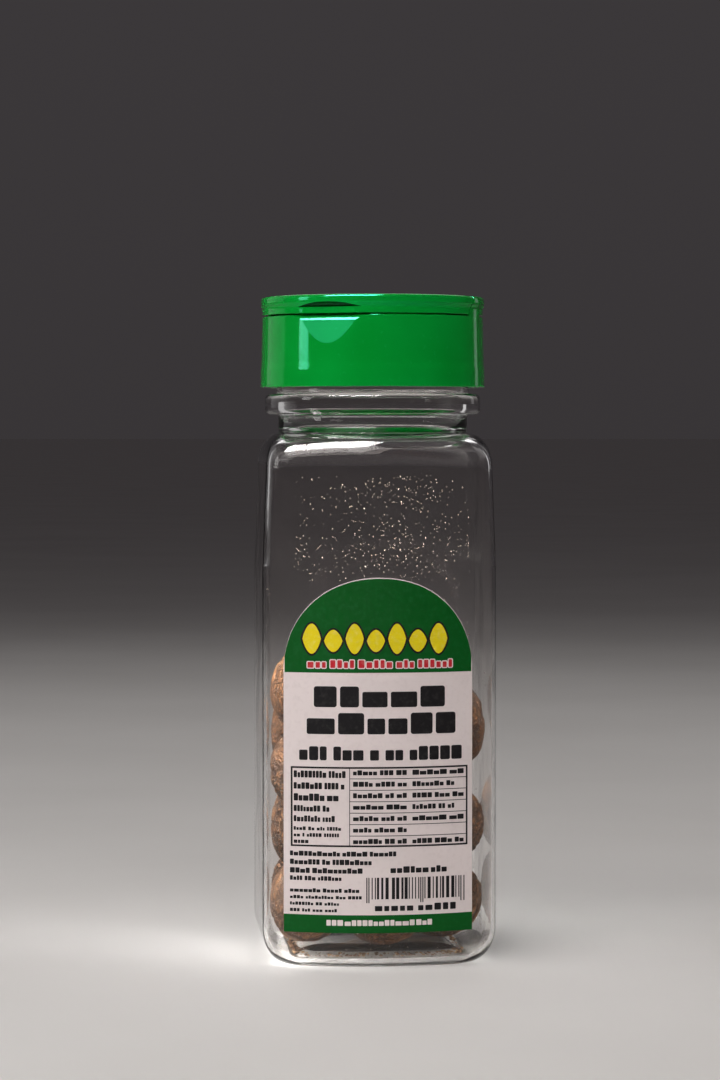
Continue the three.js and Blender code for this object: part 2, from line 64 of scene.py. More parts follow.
def outline(half_width, half_depth, face_radius, corner_radius):
    """The jar's outline at one height: flat sides, corner arcs and bowed faces, with no kink."""
    face_centre = half_depth - face_radius
    corner_x = half_width - corner_radius
    corner_y = face_centre + math.sqrt((face_radius - corner_radius) ** 2 - corner_x**2)
    meeting = math.atan2(corner_y - face_centre, corner_x)
    quadrant = [(half_width, corner_y * k / SIDE_STEPS) for k in range(SIDE_STEPS)]
    for k in range(CORNER_STEPS):
        angle = meeting * k / CORNER_STEPS
        x, y = corner_radius * math.cos(angle), corner_radius * math.sin(angle)
        quadrant.append((corner_x + x, corner_y + y))
    for k in range(FACE_STEPS):
        angle = mix(meeting, math.pi / 2, k / FACE_STEPS)
        x, y = face_radius * math.cos(angle), face_radius * math.sin(angle)
        quadrant.append((x, face_centre + y))
    mirrored = [(0.0, half_depth)] + quadrant[:0:-1]
    whole = list(quadrant)
    whole += [(-x, y) for x, y in mirrored]
    whole += [(-x, -y) for x, y in quadrant]
    whole += [(x, -y) for x, y in mirrored]
    return whole


def panel_outline(inset):
    half_width, half_depth = HALF_WIDTH - inset, HALF_DEPTH - inset
    return outline(half_width, half_depth, FACE_RADIUS - inset, CORNER_RADIUS - inset)


def foot_outline(inset):
    half_width, half_depth = HALF_WIDTH - FOOT_INSET - inset, HALF_DEPTH - FOOT_INSET - inset
    return outline(half_width, half_depth, FOOT_FACE_RADIUS, FOOT_CORNER - inset)


def circle(radius, count=RING_COUNT):
    angles = [2 * math.pi * k / count for k in range(count)]
    return [(radius * math.cos(a), radius * math.sin(a)) for a in angles]


def raised(ring, height):
    return [(x, y, height) for x, y in ring]


def scaled(ring, factor):
    return [(x * factor, y * factor) for x, y in ring]


def between(first, second, share):
    return [(mix(a[0], b[0], share), mix(a[1], b[1], share)) for a, b in zip(first, second)]


def heel_rings(foot, body, low):
    rings = []
    for k in range(HEEL_RINGS + 1):
        angle = math.pi / 2 * k / HEEL_RINGS
        height = mix(low, HEEL_HEIGHT, 1 - math.cos(angle))
        rings.append(raised(between(foot, body, math.sin(angle)), height))
    return rings


def wall_rings(inset):
    """The body's wall up to the shoulder, with the faint line where it starts to taper in."""
    spots = [(mix(HEEL_HEIGHT, PANEL_TOP, share), 0.0) for share in (0.2, 0.4, 0.6, 0.8, 0.996)]
    spots += [(PANEL_TOP, 0.03), (PANEL_TOP + 0.35, 0.07)]
    spots += [(mix(PANEL_TOP, TAPER_TOP, share), TAPER_INSET * share) for share in (0.25, 0.6, 0.9)]
    return [raised(panel_outline(inset + more), height) for height, more in spots]


def shoulder_rings(body, neck, high):
    rings = []
    for k in range(SHOULDER_RINGS + 1):
        angle = math.pi / 2 * k / SHOULDER_RINGS
        inwards = 1 - max(0.0, math.cos(angle)) ** (2 / SHOULDER_POWER)
        upwards = math.sin(angle) ** (2 / SHOULDER_POWER)
        rings.append(raised(between(body, neck, inwards), mix(TAPER_TOP, high, upwards)))
    return rings


def rounded(corners, steps=12):
    """A path through (across, up, cut) corners, each cut back that far and rounded."""
    path = []
    for k, (across, up, cut) in enumerate(corners):
        corner = Vector((across, up))
        if not cut:
            path.append(corner)
            continue
        start = corner + (Vector(corners[k - 1][:2]) - corner).normalized() * cut
        end = corner + (Vector(corners[k + 1][:2]) - corner).normalized() * cut
        for step in range(steps + 1):
            t = step / steps
            path.append(start * (1 - t) ** 2 + corner * 2 * t * (1 - t) + end * t**2)
    return path


def loft(rings):
    """Points and faces of a stack of rings with equal counts, closed by a fan at each end."""
    count = len(rings[0])
    points = [tuple(point) for ring in rings for point in ring]
    faces = []
    for level in range(len(rings) - 1):
        for k in range(count):
            a, b = level * count + k, level * count + (k + 1) % count
            faces.append((a, b, b + count, a + count))
    for level, flip in ((0, True), (len(rings) - 1, False)):
        points.append(tuple(sum(p[i] for p in rings[level]) / count for i in range(3)))
        for k in range(count):
            a, b = level * count + k, level * count + (k + 1) % count
            faces.append((len(points) - 1, b, a) if flip else (len(points) - 1, a, b))
    return points, faces


def mesh_of(name, points, faces):
    """A mesh in millimetres with its faces pointing out."""
    mesh = bpy.data.meshes.new(name)
    mesh.from_pydata(points, [], faces)
    solid = bmesh.new()
    solid.from_mesh(mesh)
    bmesh.ops.recalc_face_normals(solid, faces=solid.faces)
    solid.to_mesh(mesh)
    solid.free()
    return mesh


def add_piece(name, mesh, material, body, sharp_above=None):
    """The object of a mesh in millimetres, with its finish and body."""
    mesh.transform(Matrix.Scale(MM, 4))
    mesh.shade_smooth()
    if sharp_above is not None:
        mesh.set_sharp_from_angle(angle=math.radians(sharp_above))
    mesh.materials.clear()
    mesh.materials.append(material)
    piece = bpy.data.objects.new(name, mesh)
    bpy.context.scene.collection.objects.link(piece)
    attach(piece, body)
    return piece


def new_material(name, colour):
    """A material with its Principled shader and its output, and the shader's plain colour."""
    material = bpy.data.materials.new(name)
    material.use_nodes = True
    tree = material.node_tree
    tree.nodes.clear()
    shader = tree.nodes.new("ShaderNodeBsdfPrincipled")
    output = tree.nodes.new("ShaderNodeOutputMaterial")
    tree.links.new(shader.outputs["BSDF"], output.inputs["Surface"])
    shader.inputs["Base Color"].default_value = (*colour, 1)
    return material, tree, shader, output


def add_node(tree, kind, inputs=(), **settings):
    """A node with its settings, and each input given as a value or as the socket that feeds it."""
    node = tree.nodes.new("ShaderNode" + kind)
    for name, value in settings.items():
        setattr(node, name, value)
    for name, value in dict(inputs).items():
        if isinstance(value, bpy.types.NodeSocket):
            tree.links.new(value, node.inputs[name])
        else:
            node.inputs[name].default_value = value
    return node


def fitted(tree, value, low, high, start, end):
    """A value between low and high, moved to between start and end and kept there."""
    reach = {"Value": value, "From Min": low, "From Max": high, "To Min": start, "To Max": end}
    return add_node(tree, "MapRange", reach).outputs["Result"]


def new_group(name, inputs, outputs):
    """An empty shader node group with named numbers going in and named sockets coming out."""
    group = bpy.data.node_groups.new(name, "ShaderNodeTree")
    for label, value in inputs.items():
        socket = group.interface.new_socket(label, in_out="INPUT", socket_type="NodeSocketFloat")
        socket.default_value = value
    for label, kind in outputs.items():
        group.interface.new_socket(label, in_out="OUTPUT", socket_type="NodeSocket" + kind)
    return group, group.nodes.new("NodeGroupInput"), group.nodes.new("NodeGroupOutput")


def use_group(tree, group, **values):
    """A group placed in a material, with its own values for inputs named in one word."""
    node = tree.nodes.new("ShaderNodeGroup")
    node.node_tree = group
    for label, value in values.items():
        node.inputs[label].default_value = value
    return node


# Slow waves and a fine haze, as a mould leaves them on plastic
moulded, entry, leave = new_group(
    "Moulded plastic", {"Waves": 60.0, "Haze": 400.0}, {"Wave": "Float", "Film": "Float"}
)
place = add_node(moulded, "TexCoord").outputs["Object"]
waves = add_node(
    moulded, "TexNoise", {"Vector": place, "Scale": entry.outputs["Waves"], "Detail": 1.0}
)
film = add_node(
    moulded, "TexNoise", {"Vector": place, "Scale": entry.outputs["Haze"], "Detail": 4.0}
)
moulded.links.new(waves.outputs["Fac"], leave.inputs["Wave"])
moulded.links.new(film.outputs["Fac"], leave.inputs["Film"])

clear_plastic, tree, shader, output = new_material("Clear plastic", (0.975, 0.962, 0.955))
shader.inputs["Transmission Weight"].default_value = 1.0
shader.inputs["IOR"].default_value = 1.44
shader.inputs["Specular Tint"].default_value = (0.5, 0.48, 0.47, 1)
skin = use_group(tree, moulded, Waves=70.0, Haze=300.0)
tree.links.new(
    fitted(tree, skin.outputs["Film"], 0.4, 0.8, 0.02, 0.07), shader.inputs["Roughness"]
)
ripple = add_node(
    tree, "Bump", {"Height": skin.outputs["Wave"], "Strength": 0.25, "Distance": 0.0004}
)
tree.links.new(ripple.outputs["Normal"], shader.inputs["Normal"])
let_light_by = add_node(tree, "BsdfTransparent", {"Color": (0.93, 0.94, 0.935, 1)})
ray = add_node(tree, "LightPath")
shown = add_node(tree, "MixShader", {"Fac": ray.outputs["Is Shadow Ray"]})
tree.links.new(shader.outputs["BSDF"], shown.inputs[1])
tree.links.new(let_light_by.outputs["BSDF"], shown.inputs[2])
tree.links.new(shown.outputs["Shader"], output.inputs["Surface"])

# Push-up under the base, from its middle out to the flat foot ring
push_up = [(0.3, 1.0), (0.55, 1.0), (0.75, 0.97), (0.86, 0.87), (0.93, 0.66), (0.965, 0.4)]
base_rings = [raised(scaled(foot_outline(FOOT_RING), out), PUSH_UP * up) for out, up in push_up]
base_rings.append(raised(scaled(foot_outline(FOOT_RING), 0.988), 0.25))
base_rings.append(raised(foot_outline(FOOT_RING), 0.0))
neck_path = rounded(
    [
        (NECK_RADIUS, SHOULDER_TOP + 0.2, 0),
        (NECK_RADIUS, BEAD_BOTTOM, 0.5),
        (BEAD_RADIUS, BEAD_BOTTOM, 1.5),
        (BEAD_RADIUS, BEAD_TOP, 1.5),
        (NECK_TOP_RADIUS, BEAD_TOP, 0.4),
        (NECK_TOP_RADIUS, NECK_TOP, 0.4),
        (NECK_BORE, NECK_TOP, 0.3),
        (NECK_BORE, SHOULDER_TOP + 4, 0),
    ],
    6,
)
neck_rings = [raised(circle(radius), height) for radius, height in neck_path]
inner_foot = foot_outline(0.5)
inner_rings = heel_rings(inner_foot, panel_outline(WALL), FLOOR)
inner_rings += wall_rings(WALL)
inner_rings += shoulder_rings(
    panel_outline(TAPER_INSET + WALL), circle(NECK_BORE), SHOULDER_TOP - WALL
)
inner_floor = [(0.94, 0.3), (0.86, 0.7), (0.75, 0.92), (0.5, 1.0), (0.25, 1.0)]
floor_rings = [raised(scaled(inner_foot, out), FLOOR + PUSH_UP * up) for out, up in inner_floor]
jar_rings = base_rings + heel_rings(foot_outline(0), panel_outline(0), 0) + wall_rings(0)
jar_rings += shoulder_rings(panel_outline(TAPER_INSET), circle(NECK_RADIUS), SHOULDER_TOP)
jar_rings += neck_rings + inner_rings[::-1] + floor_rings
jar = add_piece(
    "clear_jar", mesh_of("clear_jar", *loft(jar_rings)), clear_plastic, "pack"
)
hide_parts("jar")

# The nutmegs
# Whole dried kernels about 20 mm thick, egg-shaped, with a net of furrows over most of the
# skin, a smoother side, a folded scar at one end and pale dust. They lie loose in the jar.
NUT_GAP, NUT_FLOOR, NUT_FILL_TOP = 0.4, 3.9, 72
NUT_COUNT, NUT_SEED = 20, 4646
SHOWN_NUTS = [
    ((-17.6, -14.8, 68.2), (0.6, 0.5, 0.6), 10.1, 11.4),
    ((-17.7, -10.5, 49.2), (0.2, 1.0, 0.3), 9.6, 10.9),
    ((-17.5, -0.5, 31.5), (0.3, 0.3, 1.0), 9.6, 11.0),
    ((-17.6, -11.6, 14.6), (0.2, 0.6, 1.0), 10.0, 11.4),
    ((17.6, -14.6, 59.0), (-0.45, 0.2, 1.0), 10.1, 11.8),
    ((17.4, -10.5, 35.6), (0.5, 1.0, 0.3), 9.5, 10.7),
    ((17.8, -10.6, 13.9), (0.9, 0.3, 0.6), 9.6, 10.7),
    ((0.3, -18.6, 14.0), (0.9, 0.2, 0.4), 9.4, 10.8),
]
SETTLE_ROUNDS, GROW_ROUNDS, LOOSE_ROUNDS = 480, 220, 320
SINK, PULL_HOME, HOME_YIELD = 0.12, 0.08, 0.1
NUT_GRID = 27
NUT_SWELL = 0.42
EGG_SHARE = 0.02


def seeded_numbers(seed):
    """A repeatable row of numbers from 0 to 1."""
    state = seed

    def draw():
        nonlocal state
        state = (state * 16807) % 2147483647
        return state / 2147483647

    return draw


def length_of(v):
    return math.sqrt(v[0] * v[0] + v[1] * v[1] + v[2] * v[2])


class Nut:
    """A nutmeg while it settles: two balls along its axis."""

    def __init__(self, at, axis, radius, half, home):
        self.at, self.home = list(at), home
        self.axis = [value / length_of(axis) for value in axis]
        self.radius, self.half = radius, half

    def balls(self, size):
        reach = (self.half - self.radius) * size
        return [[self.at[i] + self.axis[i] * along for i in range(3)] for along in (-reach, reach)]


def keep_inside(nut, size):
    """Moves a nutmeg back off the side walls, the bowed walls, the floor and the fill line."""
    radius = nut.radius * size
    across = HALF_WIDTH - WALL - NUT_GAP - radius
    bowed = FACE_RADIUS - WALL - NUT_GAP - radius
    for end in (0, 1):
        x = nut.balls(size)[end][0]
        if x > across:
            nut.at[0] -= x - across
        if x < -across:
            nut.at[0] -= x + across
        for centre in (FACE_RADIUS - HALF_DEPTH, HALF_DEPTH - FACE_RADIUS):
            ball = nut.balls(size)[end]
            dy = ball[1] - centre
            far = math.sqrt(ball[0] * ball[0] + dy * dy)
            if far > bowed:
                nut.at[0] -= (ball[0] / far) * (far - bowed)
                nut.at[1] -= (dy / far) * (far - bowed)
        height = nut.balls(size)[end][2]
        low, high = height - radius - NUT_FLOOR, height + radius - NUT_FILL_TOP
        if low < 0:
            nut.at[2] -= low
        if high > 0 and not nut.home:
            nut.at[2] -= high * 0.5


def yield_of(one, other):
    """How much of a push the first of two nutmegs takes: a shown one gives way little."""
    if one.home and not other.home:
        return HOME_YIELD
    if other.home and not one.home:
        return 1 - HOME_YIELD
    return 0.5


def push_apart(one, other, size):
    for first in (0, 1):
        for second in (0, 1):
            start, end = one.balls(size)[first], other.balls(size)[second]
            apart = [end[i] - start[i] for i in range(3)]
            far = length_of(apart)
            over = (one.radius + other.radius) * size - far
            if over > 0:
                for i in range(3):
                    one.at[i] -= (apart[i] / far) * over * yield_of(one, other)
                    other.at[i] += (apart[i] / far) * over * yield_of(other, one)


def may_touch(one, other):
    """True where two nutmegs are near enough to be worth pushing apart."""
    near = one.half + other.half
    return all(abs(one.at[k] - other.at[k]) < near for k in range(3))


def settled_nuts():
    """Fills the jar: each nutmeg pushes off the others and off the wall until all fit."""
    draw = seeded_numbers(NUT_SEED)
    nuts = [Nut(at, axis, radius, half, at) for at, axis, radius, half in SHOWN_NUTS]
    while len(nuts) < NUT_COUNT:
        radius = 9.3 + 0.8 * draw()
        at = [34 * draw() - 17, 34 * draw() - 15, 14 + (NUT_FILL_TOP - 24) * draw()]
        axis = [draw() - 0.5, draw() - 0.5, draw() - 0.5]
        nuts.append(Nut(at, axis, radius, radius * (1.1 + 0.12 * draw()), None))
    for step in range(SETTLE_ROUNDS):
        size = min(1, 0.5 + (0.5 * step) / GROW_ROUNDS)
        if step < LOOSE_ROUNDS:
            for nut in nuts:
                nut.at[2] -= SINK
                if nut.home:
                    nut.at = [a + (h - a) * PULL_HOME for a, h in zip(nut.at, nut.home)]
        for i in range(len(nuts)):
            for j in range(i + 1, len(nuts)):
                if may_touch(nuts[i], nuts[j]):
                    push_apart(nuts[i], nuts[j], size)
        for nut in nuts:
            keep_inside(nut, size)
    return nuts


def ball_grid(cuts):
    """Points and faces of a unit ball made of six square grids, with faces of like size."""
    grid = bmesh.new()
    bmesh.ops.create_cube(grid, size=2)
    bmesh.ops.subdivide_edges(grid, edges=grid.edges[:], cuts=cuts, use_grid_fill=True)
    points = []
    for vertex in grid.verts:
        evened = Vector([math.tan(c * math.pi / 4) for c in vertex.co])
        points.append(evened.normalized())
    faces = [[vertex.index for vertex in face.verts] for face in grid.faces]
    grid.free()
    return points, faces


def ramped(value, low, high):
    share = min(1.0, max(0.0, (value - low) / (high - low)))
    return share * share * (3 - 2 * share)


def skin_of(place, shift):
    """How far the skin lies under a nutmeg's plain form, in millimetres, and how furrowed it is."""
    moved = place + shift
    rough = mix(0.25, 1.0, ramped(noise.noise(moved * 0.9), -0.3, 0.15))
    bent = moved + 0.2 * noise.noise_vector(moved * 2.3)
    near = noise.voronoi(Vector((bent.x * 3.9, bent.y * 3.9, bent.z * 2.3)))[0]
    furrow = (1 - ramped(near[1] - near[0], 0.0, 0.34)) * rough
    lump = 0.5 + 0.6 * noise.noise(moved * 1.7)
    ridge = 0.5 + 0.5 * noise.noise(Vector((moved.x * 7, moved.y * 7, moved.z * 3.5)))
    across = math.hypot(place.x, place.y)
    seam = math.exp(-((place.y / 0.1) ** 2)) if place.x > 0 else 0.0
    scar = (1 - ramped(across, 0.1, 0.5)) if place.z > 0 else 0.0
    folds = 0.5 + 0.5 * math.sin(9 * math.atan2(place.y, place.x) + 5 * across + 3 * lump)
    fold_depth = scar * ramped(across, 0.05, 0.16) * folds
    pit = (1 - ramped(across, 0.0, 0.12)) if place.z < 0 else 0.0
    depth = 0.4 * furrow + 0.6 * lump + 0.16 * ridge + 0.35 * seam - NUT_SWELL
    depth += 0.5 * fold_depth + 0.4 * scar * (1 - folds * 0.3) + 0.7 * pit
    return depth, min(1.0, furrow + 0.6 * fold_depth + 0.5 * seam + pit), scar


def nutmeg_mesh(nuts):
    """All the nutmegs as one mesh, with the places and tones that their finish needs."""
    ball, ball_faces = ball_grid(NUT_GRID)
    draw = seeded_numbers(911)
    points, faces, places, furrowed, tones, scars = [], [], [], [], [], []
    for nut in nuts:
        start = len(points)
        faces += [[start + k for k in face] for face in ball_faces]
        turn = Vector((0, 0, 1)).rotation_difference(Vector(nut.axis))
        spin = Matrix.Rotation(2 * math.pi * draw(), 3, "Z")
        shift = Vector((draw(), draw(), draw())) * 40
        tone = draw()
        for place in ball:
            depth, furrow, scar = skin_of(place, shift)
            width = nut.radius * (1 + EGG_SHARE * (place.z - abs(place.z))) - depth
            local = Vector((place.x * width, place.y * width, place.z * (nut.half - depth)))
            points.append(turn @ (spin @ local) + Vector(nut.at))
            places.append(place + shift)
            furrowed.append(furrow)
            tones.append(tone)
            scars.append(scar)
    mesh = mesh_of("whole_nutmegs", points, faces)
    mesh.attributes.new("nut_place", "FLOAT_VECTOR", "POINT").data.foreach_set(
        "vector", [c for place in places for c in place]
    )
    for label, values in (("nut_furrow", furrowed), ("nut_tone", tones), ("nut_scar", scars)):
        mesh.attributes.new(label, "FLOAT", "POINT").data.foreach_set("value", values)
    return mesh


def mixed(tree, factor, first, second):
    """The colour between two colours or colour sockets by a factor."""
    node = add_node(tree, "Mix", {0: factor, 6: first, 7: second}, data_type="RGBA")
    return node.outputs[2]


nut_shell, tree, shader, output = new_material("Nutmeg shell", (0.3, 0.16, 0.07))
in_nut = add_node(tree, "Attribute", attribute_name="nut_place").outputs["Vector"]
tone = add_node(tree, "Attribute", attribute_name="nut_tone").outputs["Fac"]
sunk = add_node(tree, "Attribute", attribute_name="nut_furrow").outputs["Fac"]
scarred = add_node(tree, "Attribute", attribute_name="nut_scar").outputs["Fac"]
bend = add_node(tree, "TexNoise", {"Vector": in_nut, "Scale": 2.4, "Detail": 3.0})
bent = add_node(
    tree,
    "VectorMath",
    {0: bend.outputs["Color"], 1: (0.4, 0.4, 0.5), 2: in_nut},
    operation="MULTIPLY_ADD",
)
stretched = add_node(
    tree, "VectorMath", {0: bent.outputs["Vector"], 1: (1.0, 1.0, 0.6)}, operation="MULTIPLY"
)
net = add_node(
    tree,
    "TexVoronoi",
    {"Vector": stretched.outputs["Vector"], "Scale": 7.5},
    feature="DISTANCE_TO_EDGE",
)
net_line = fitted(tree, net.outputs["Distance"], 0.0, 0.15, 1.0, 0.0)
patch = add_node(tree, "TexNoise", {"Vector": in_nut, "Scale": 1.1, "Detail": 2.0})
rough_patch = fitted(tree, patch.outputs["Fac"], 0.4, 0.54, 0.15, 1.0)
vein = add_node(
    tree, "Math", {0: net_line, 1: rough_patch}, operation="MULTIPLY"
).outputs["Value"]
grain = add_node(
    tree, "TexNoise", {"Vector": in_nut, "Scale": 14.0, "Detail": 6.0, "Roughness": 0.7}
)
speck = add_node(tree, "TexNoise", {"Vector": in_nut, "Scale": 38.0, "Detail": 3.0})
blotch = add_node(
    tree, "TexNoise", {"Vector": in_nut, "Scale": 4.5, "Detail": 5.0, "Roughness": 0.65}
)
base = mixed(tree, tone, (0.255, 0.105, 0.034, 1), (0.17, 0.065, 0.02, 1))
base = mixed(
    tree, fitted(tree, patch.outputs["Fac"], 0.52, 0.3, 0.0, 0.75), base, (0.37, 0.18, 0.072, 1)
)
base = mixed(
    tree, fitted(tree, blotch.outputs["Fac"], 0.44, 0.6, 0.0, 0.8), base, (0.085, 0.034, 0.012, 1)
)
base = mixed(
    tree, fitted(tree, grain.outputs["Fac"], 0.45, 0.68, 0.0, 0.75), base, (0.08, 0.032, 0.012, 1)
)
base = mixed(tree, fitted(tree, sunk, 0.08, 0.65, 0.0, 0.9), base, (0.04, 0.016, 0.006, 1))
base = mixed(tree, fitted(tree, vein, 0.0, 0.8, 0.0, 0.85), base, (0.045, 0.018, 0.007, 1))
base = mixed(tree, fitted(tree, scarred, 0.2, 1.0, 0.0, 0.5), base, (0.45, 0.25, 0.11, 1))
dust = fitted(tree, speck.outputs["Fac"], 0.6, 0.7, 0.0, 0.55)
base = mixed(tree, dust, base, (0.5, 0.34, 0.2, 1))
tree.links.new(base, shader.inputs["Base Color"])
tree.links.new(
    fitted(tree, grain.outputs["Fac"], 0.3, 0.7, 0.42, 0.7), shader.inputs["Roughness"]
)
shader.inputs["Specular IOR Level"].default_value = 0.25
relief = add_node(
    tree,
    "Math",
    {0: grain.outputs["Fac"], 1: 0.45, 2: add_node(
        tree, "Math", {0: vein, 1: -1.0}, operation="MULTIPLY"
    ).outputs["Value"]},
    operation="MULTIPLY_ADD",
)
skin_bump = add_node(
    tree, "Bump", {"Height": relief.outputs["Value"], "Strength": 0.9, "Distance": 0.0005}
)
tree.links.new(skin_bump.outputs["Normal"], shader.inputs["Normal"])

nuts = settled_nuts()
nutmegs = add_piece("whole_nutmegs", nutmeg_mesh(nuts), nut_shell, "pack")
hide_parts("nutmegs")

# Dust and crumbs
# What the nutmegs rub off each other: pale specks that cling to the inside of the wall, and
# broken bits of shell that gather on the floor of the jar, round its raised middle.
SPECK_COUNT, HEEL_SPECK_COUNT, CRUMB_COUNT = 760, 300, 640
SPECK_CLEARANCE = 0.02
UPPER_LOW, UPPER_HIGH, UPPER_HALF = 95.0, 121.0, 22.0
# Where dust clings thickest to the front wall: the middle across and up, and the spread
DUST_DRIFTS = [
    (13.5, 113.5, 7.0),
    (21.0, 104.0, 5.0),
    (4.5, 105.0, 7.0),
    (-12.0, 103.0, 6.0),
    (6.0, 98.5, 8.0),
    (-20.0, 101.5, 5.0),
    (6.5, 119.0, 5.0),
]


def dusty(name, dark, pale):
    """A dry, dull finish whose small bits are darker and paler."""
    material, tree, shader, output = new_material(name, pale[:3])
    place = add_node(tree, "TexCoord").outputs["Object"]
    bits = add_node(tree, "TexNoise", {"Vector": place, "Scale": 700.0, "Detail": 2.0})
    share = fitted(tree, bits.outputs["Fac"], 0.48, 0.68, 0.0, 1.0)
    tree.links.new(mixed(tree, share, dark, pale), shader.inputs["Base Color"])
    shader.inputs["Roughness"].default_value = 0.75
    return material


nut_dust = dusty("Nutmeg dust", (0.13, 0.095, 0.07, 1), (0.5, 0.42, 0.35, 1))
nut_crumbs = dusty("Nutmeg crumbs", (0.15, 0.065, 0.022, 1), (0.5, 0.3, 0.145, 1))


def small_ball(steps):
    ball = bmesh.new()
    bmesh.ops.create_icosphere(ball, subdivisions=steps, radius=1)
    points = [vertex.co.copy() for vertex in ball.verts]
    faces = [[vertex.index for vertex in face.verts] for face in ball.faces]
    ball.free()
    return points, faces


def scattered(name, spots, steps, roughness):
    """One mesh of many small uneven lumps, each at a place with its own size and stretch."""
    ball, ball_faces = small_ball(steps)
    points, faces = [], []
    for at, size, stretch in spots:
        start = len(points)
        faces += [[start + k for k in face] for face in ball_faces]
        for place in ball:
            out = 1 + roughness * noise.noise(place * 1.3 + at * 7)
            points.append(at + Vector([place[i] * stretch[i] for i in range(3)]) * size * out)
    return mesh_of(name, points, faces)


def inset_at(height, out):
    """How far inside the jar's outline a speck lies that stands out from the wall's inside."""
    return WALL + out + TAPER_INSET * max(0.0, (height - PANEL_TOP) / (TAPER_TOP - PANEL_TOP))


def on_wall(along, height, out):
    """A place against the inside of the wall, a share of the way round its outline."""
    ring = panel_outline(inset_at(height, out))
    step = (along % 1.0) * len(ring)
    first, second = ring[int(step) % len(ring)], ring[(int(step) + 1) % len(ring)]
    return Vector(
        (mix(first[0], second[0], step % 1), mix(first[1], second[1], step % 1), height)
    )


def on_heel(along, up, out):
    """A place against the inside of the heel, a share of the way round and of its curve up."""
    angle = math.pi / 2 * up
    ring = between(foot_outline(0.5 + out), panel_outline(WALL + out), math.sin(angle))
    x, y = ring[int(along * len(ring)) % len(ring)]
    return Vector((x, y, mix(FLOOR, HEEL_HEIGHT, 1 - math.cos(angle)) + out))


def folded(value, low, high):
    """A number brought back inside its range, as far from the limit as it was past it."""
    if value < low:
        return 2 * low - value
    return 2 * high - value if value > high else value


def on_front(x, height, out):
    """A place against the inside of the bowed front, between its corners and its shoulder."""
    height = folded(height, 0.0, UPPER_HIGH)
    radius = FACE_RADIUS - inset_at(height, out)
    lean = math.asin(folded(x, -UPPER_HALF, UPPER_HALF) / FACE_RADIUS)
    depth = FACE_RADIUS - HALF_DEPTH - radius * math.cos(lean)
    return Vector((radius * math.sin(lean), depth, height))


draw = seeded_numbers(77)


def about(middle, spread):
    """A number near a middle, nearer ones being likelier."""
    return middle + spread * (draw() + draw() + draw() - 1.5)


speck_spots = []
for k in range(SPECK_COUNT):
    size = 0.085 + 0.08 * draw() ** 4
    out = size + SPECK_CLEARANCE
    if k % 4 == 0:
        middle, height, spread = DUST_DRIFTS[k // 4 % len(DUST_DRIFTS)]
        height = about(height, spread)
        spot = on_front(about(middle, 1.2 * spread), height, out)
    elif k % 4 < 3:
        height = about(mix(UPPER_LOW, UPPER_HIGH, draw()), 5.0)
        spot = on_front(1.1 * UPPER_HALF * (draw() + draw() - 1), height, out)
    else:
        spot = on_wall(draw(), mix(HEEL_HEIGHT, UPPER_LOW, draw() ** 1.6), out)
    speck_spots.append((spot, size, (1, 1, 1 + draw())))
for k in range(HEEL_SPECK_COUNT):
    size = 0.09 + 0.08 * draw() ** 3
    spot = on_heel(draw(), mix(0.3, 1.0, draw()), size + SPECK_CLEARANCE)
    speck_spots.append((spot, size, (1, 1, 1)))
specks = scattered("wall_dust", speck_spots, 1, 0.5)
add_piece("wall_dust", specks, nut_dust, "pack")

crumb_spots = []
for k in range(CRUMB_COUNT):
    size = 0.14 + 0.42 * draw() ** 2.5
    out = 0.9 + 0.09 * draw()
    x, y = inner_foot[int(draw() * len(inner_foot)) % len(inner_foot)]
    lift = size * 0.6 + 0.55 * max(0.0, 0.97 - out) / 0.07 * PUSH_UP * 0.3
    at = Vector((x * out, y * out, FLOOR + 0.15 + lift))
    crumb_spots.append((at, size, (1, 0.6 + 0.4 * draw(), 0.5 + 0.2 * draw())))
crumbs = scattered("nutmeg_crumbs", crumb_spots, 2, 0.9)
add_piece("nutmeg_crumbs", crumbs, nut_crumbs, "pack", 40)

# The label
# Coated white paper with an arched top, stuck on the bowed front. Its print is green above
# and below, with yellow seeds, a red row, heavy black rows, a ruled table and upright bars.
LABEL_HALF_WIDTH, LABEL_MIDDLE = 23.1, -1.0
LABEL_BOTTOM, LABEL_SPRING, LABEL_TOP = 9.3, 73.0, 96.2
LABEL_POWER = 2.15
PAPER_BACK, PAPER_FRONT = 59.58, 59.7
INK_LAYER = 0.02
BOW_STEP = 1.2
FACE_CENTRE = FACE_RADIUS - HALF_DEPTH

paper_tooth, entry, leave = new_group("Paper tooth", {"Size": 900.0}, {"Tooth": "Float"})
place = add_node(paper_tooth, "TexCoord").outputs["Object"]
fibres = add_node(
    paper_tooth, "TexNoise", {"Vector": place, "Scale": entry.outputs["Size"], "Detail": 5.0}
)
paper_tooth.links.new(fibres.outputs["Fac"], leave.inputs["Tooth"])


def printed(name, colour, worn, roughness):
    """Ink or bare paper: a colour that is a little worn where the paper's tooth is high."""
    material, tree, shader, output = new_material(name, colour)
    tooth = use_group(tree, paper_tooth, Size=900.0).outputs["Tooth"]
    blotch = use_group(tree, paper_tooth, Size=45.0).outputs["Tooth"]
    wear = fitted(tree, tooth, 0.5, 0.8, 0.0, 1.0)
    base = mixed(tree, wear, (*colour, 1), (*worn, 1))
    base = mixed(
        tree, fitted(tree, blotch, 0.4, 0.75, 0.0, 0.3), base, (*[c * 0.8 for c in colour], 1)
    )
    tree.links.new(base, shader.inputs["Base Color"])
    tree.links.new(
        fitted(tree, tooth, 0.3, 0.7, roughness, roughness + 0.12), shader.inputs["Roughness"]
    )
    bump = add_node(tree, "Bump", {"Height": tooth, "Strength": 0.25, "Distance": 0.00003})
    tree.links.new(bump.outputs["Normal"], shader.inputs["Normal"])
    shader.inputs["Specular IOR Level"].default_value = 0.12
    return material


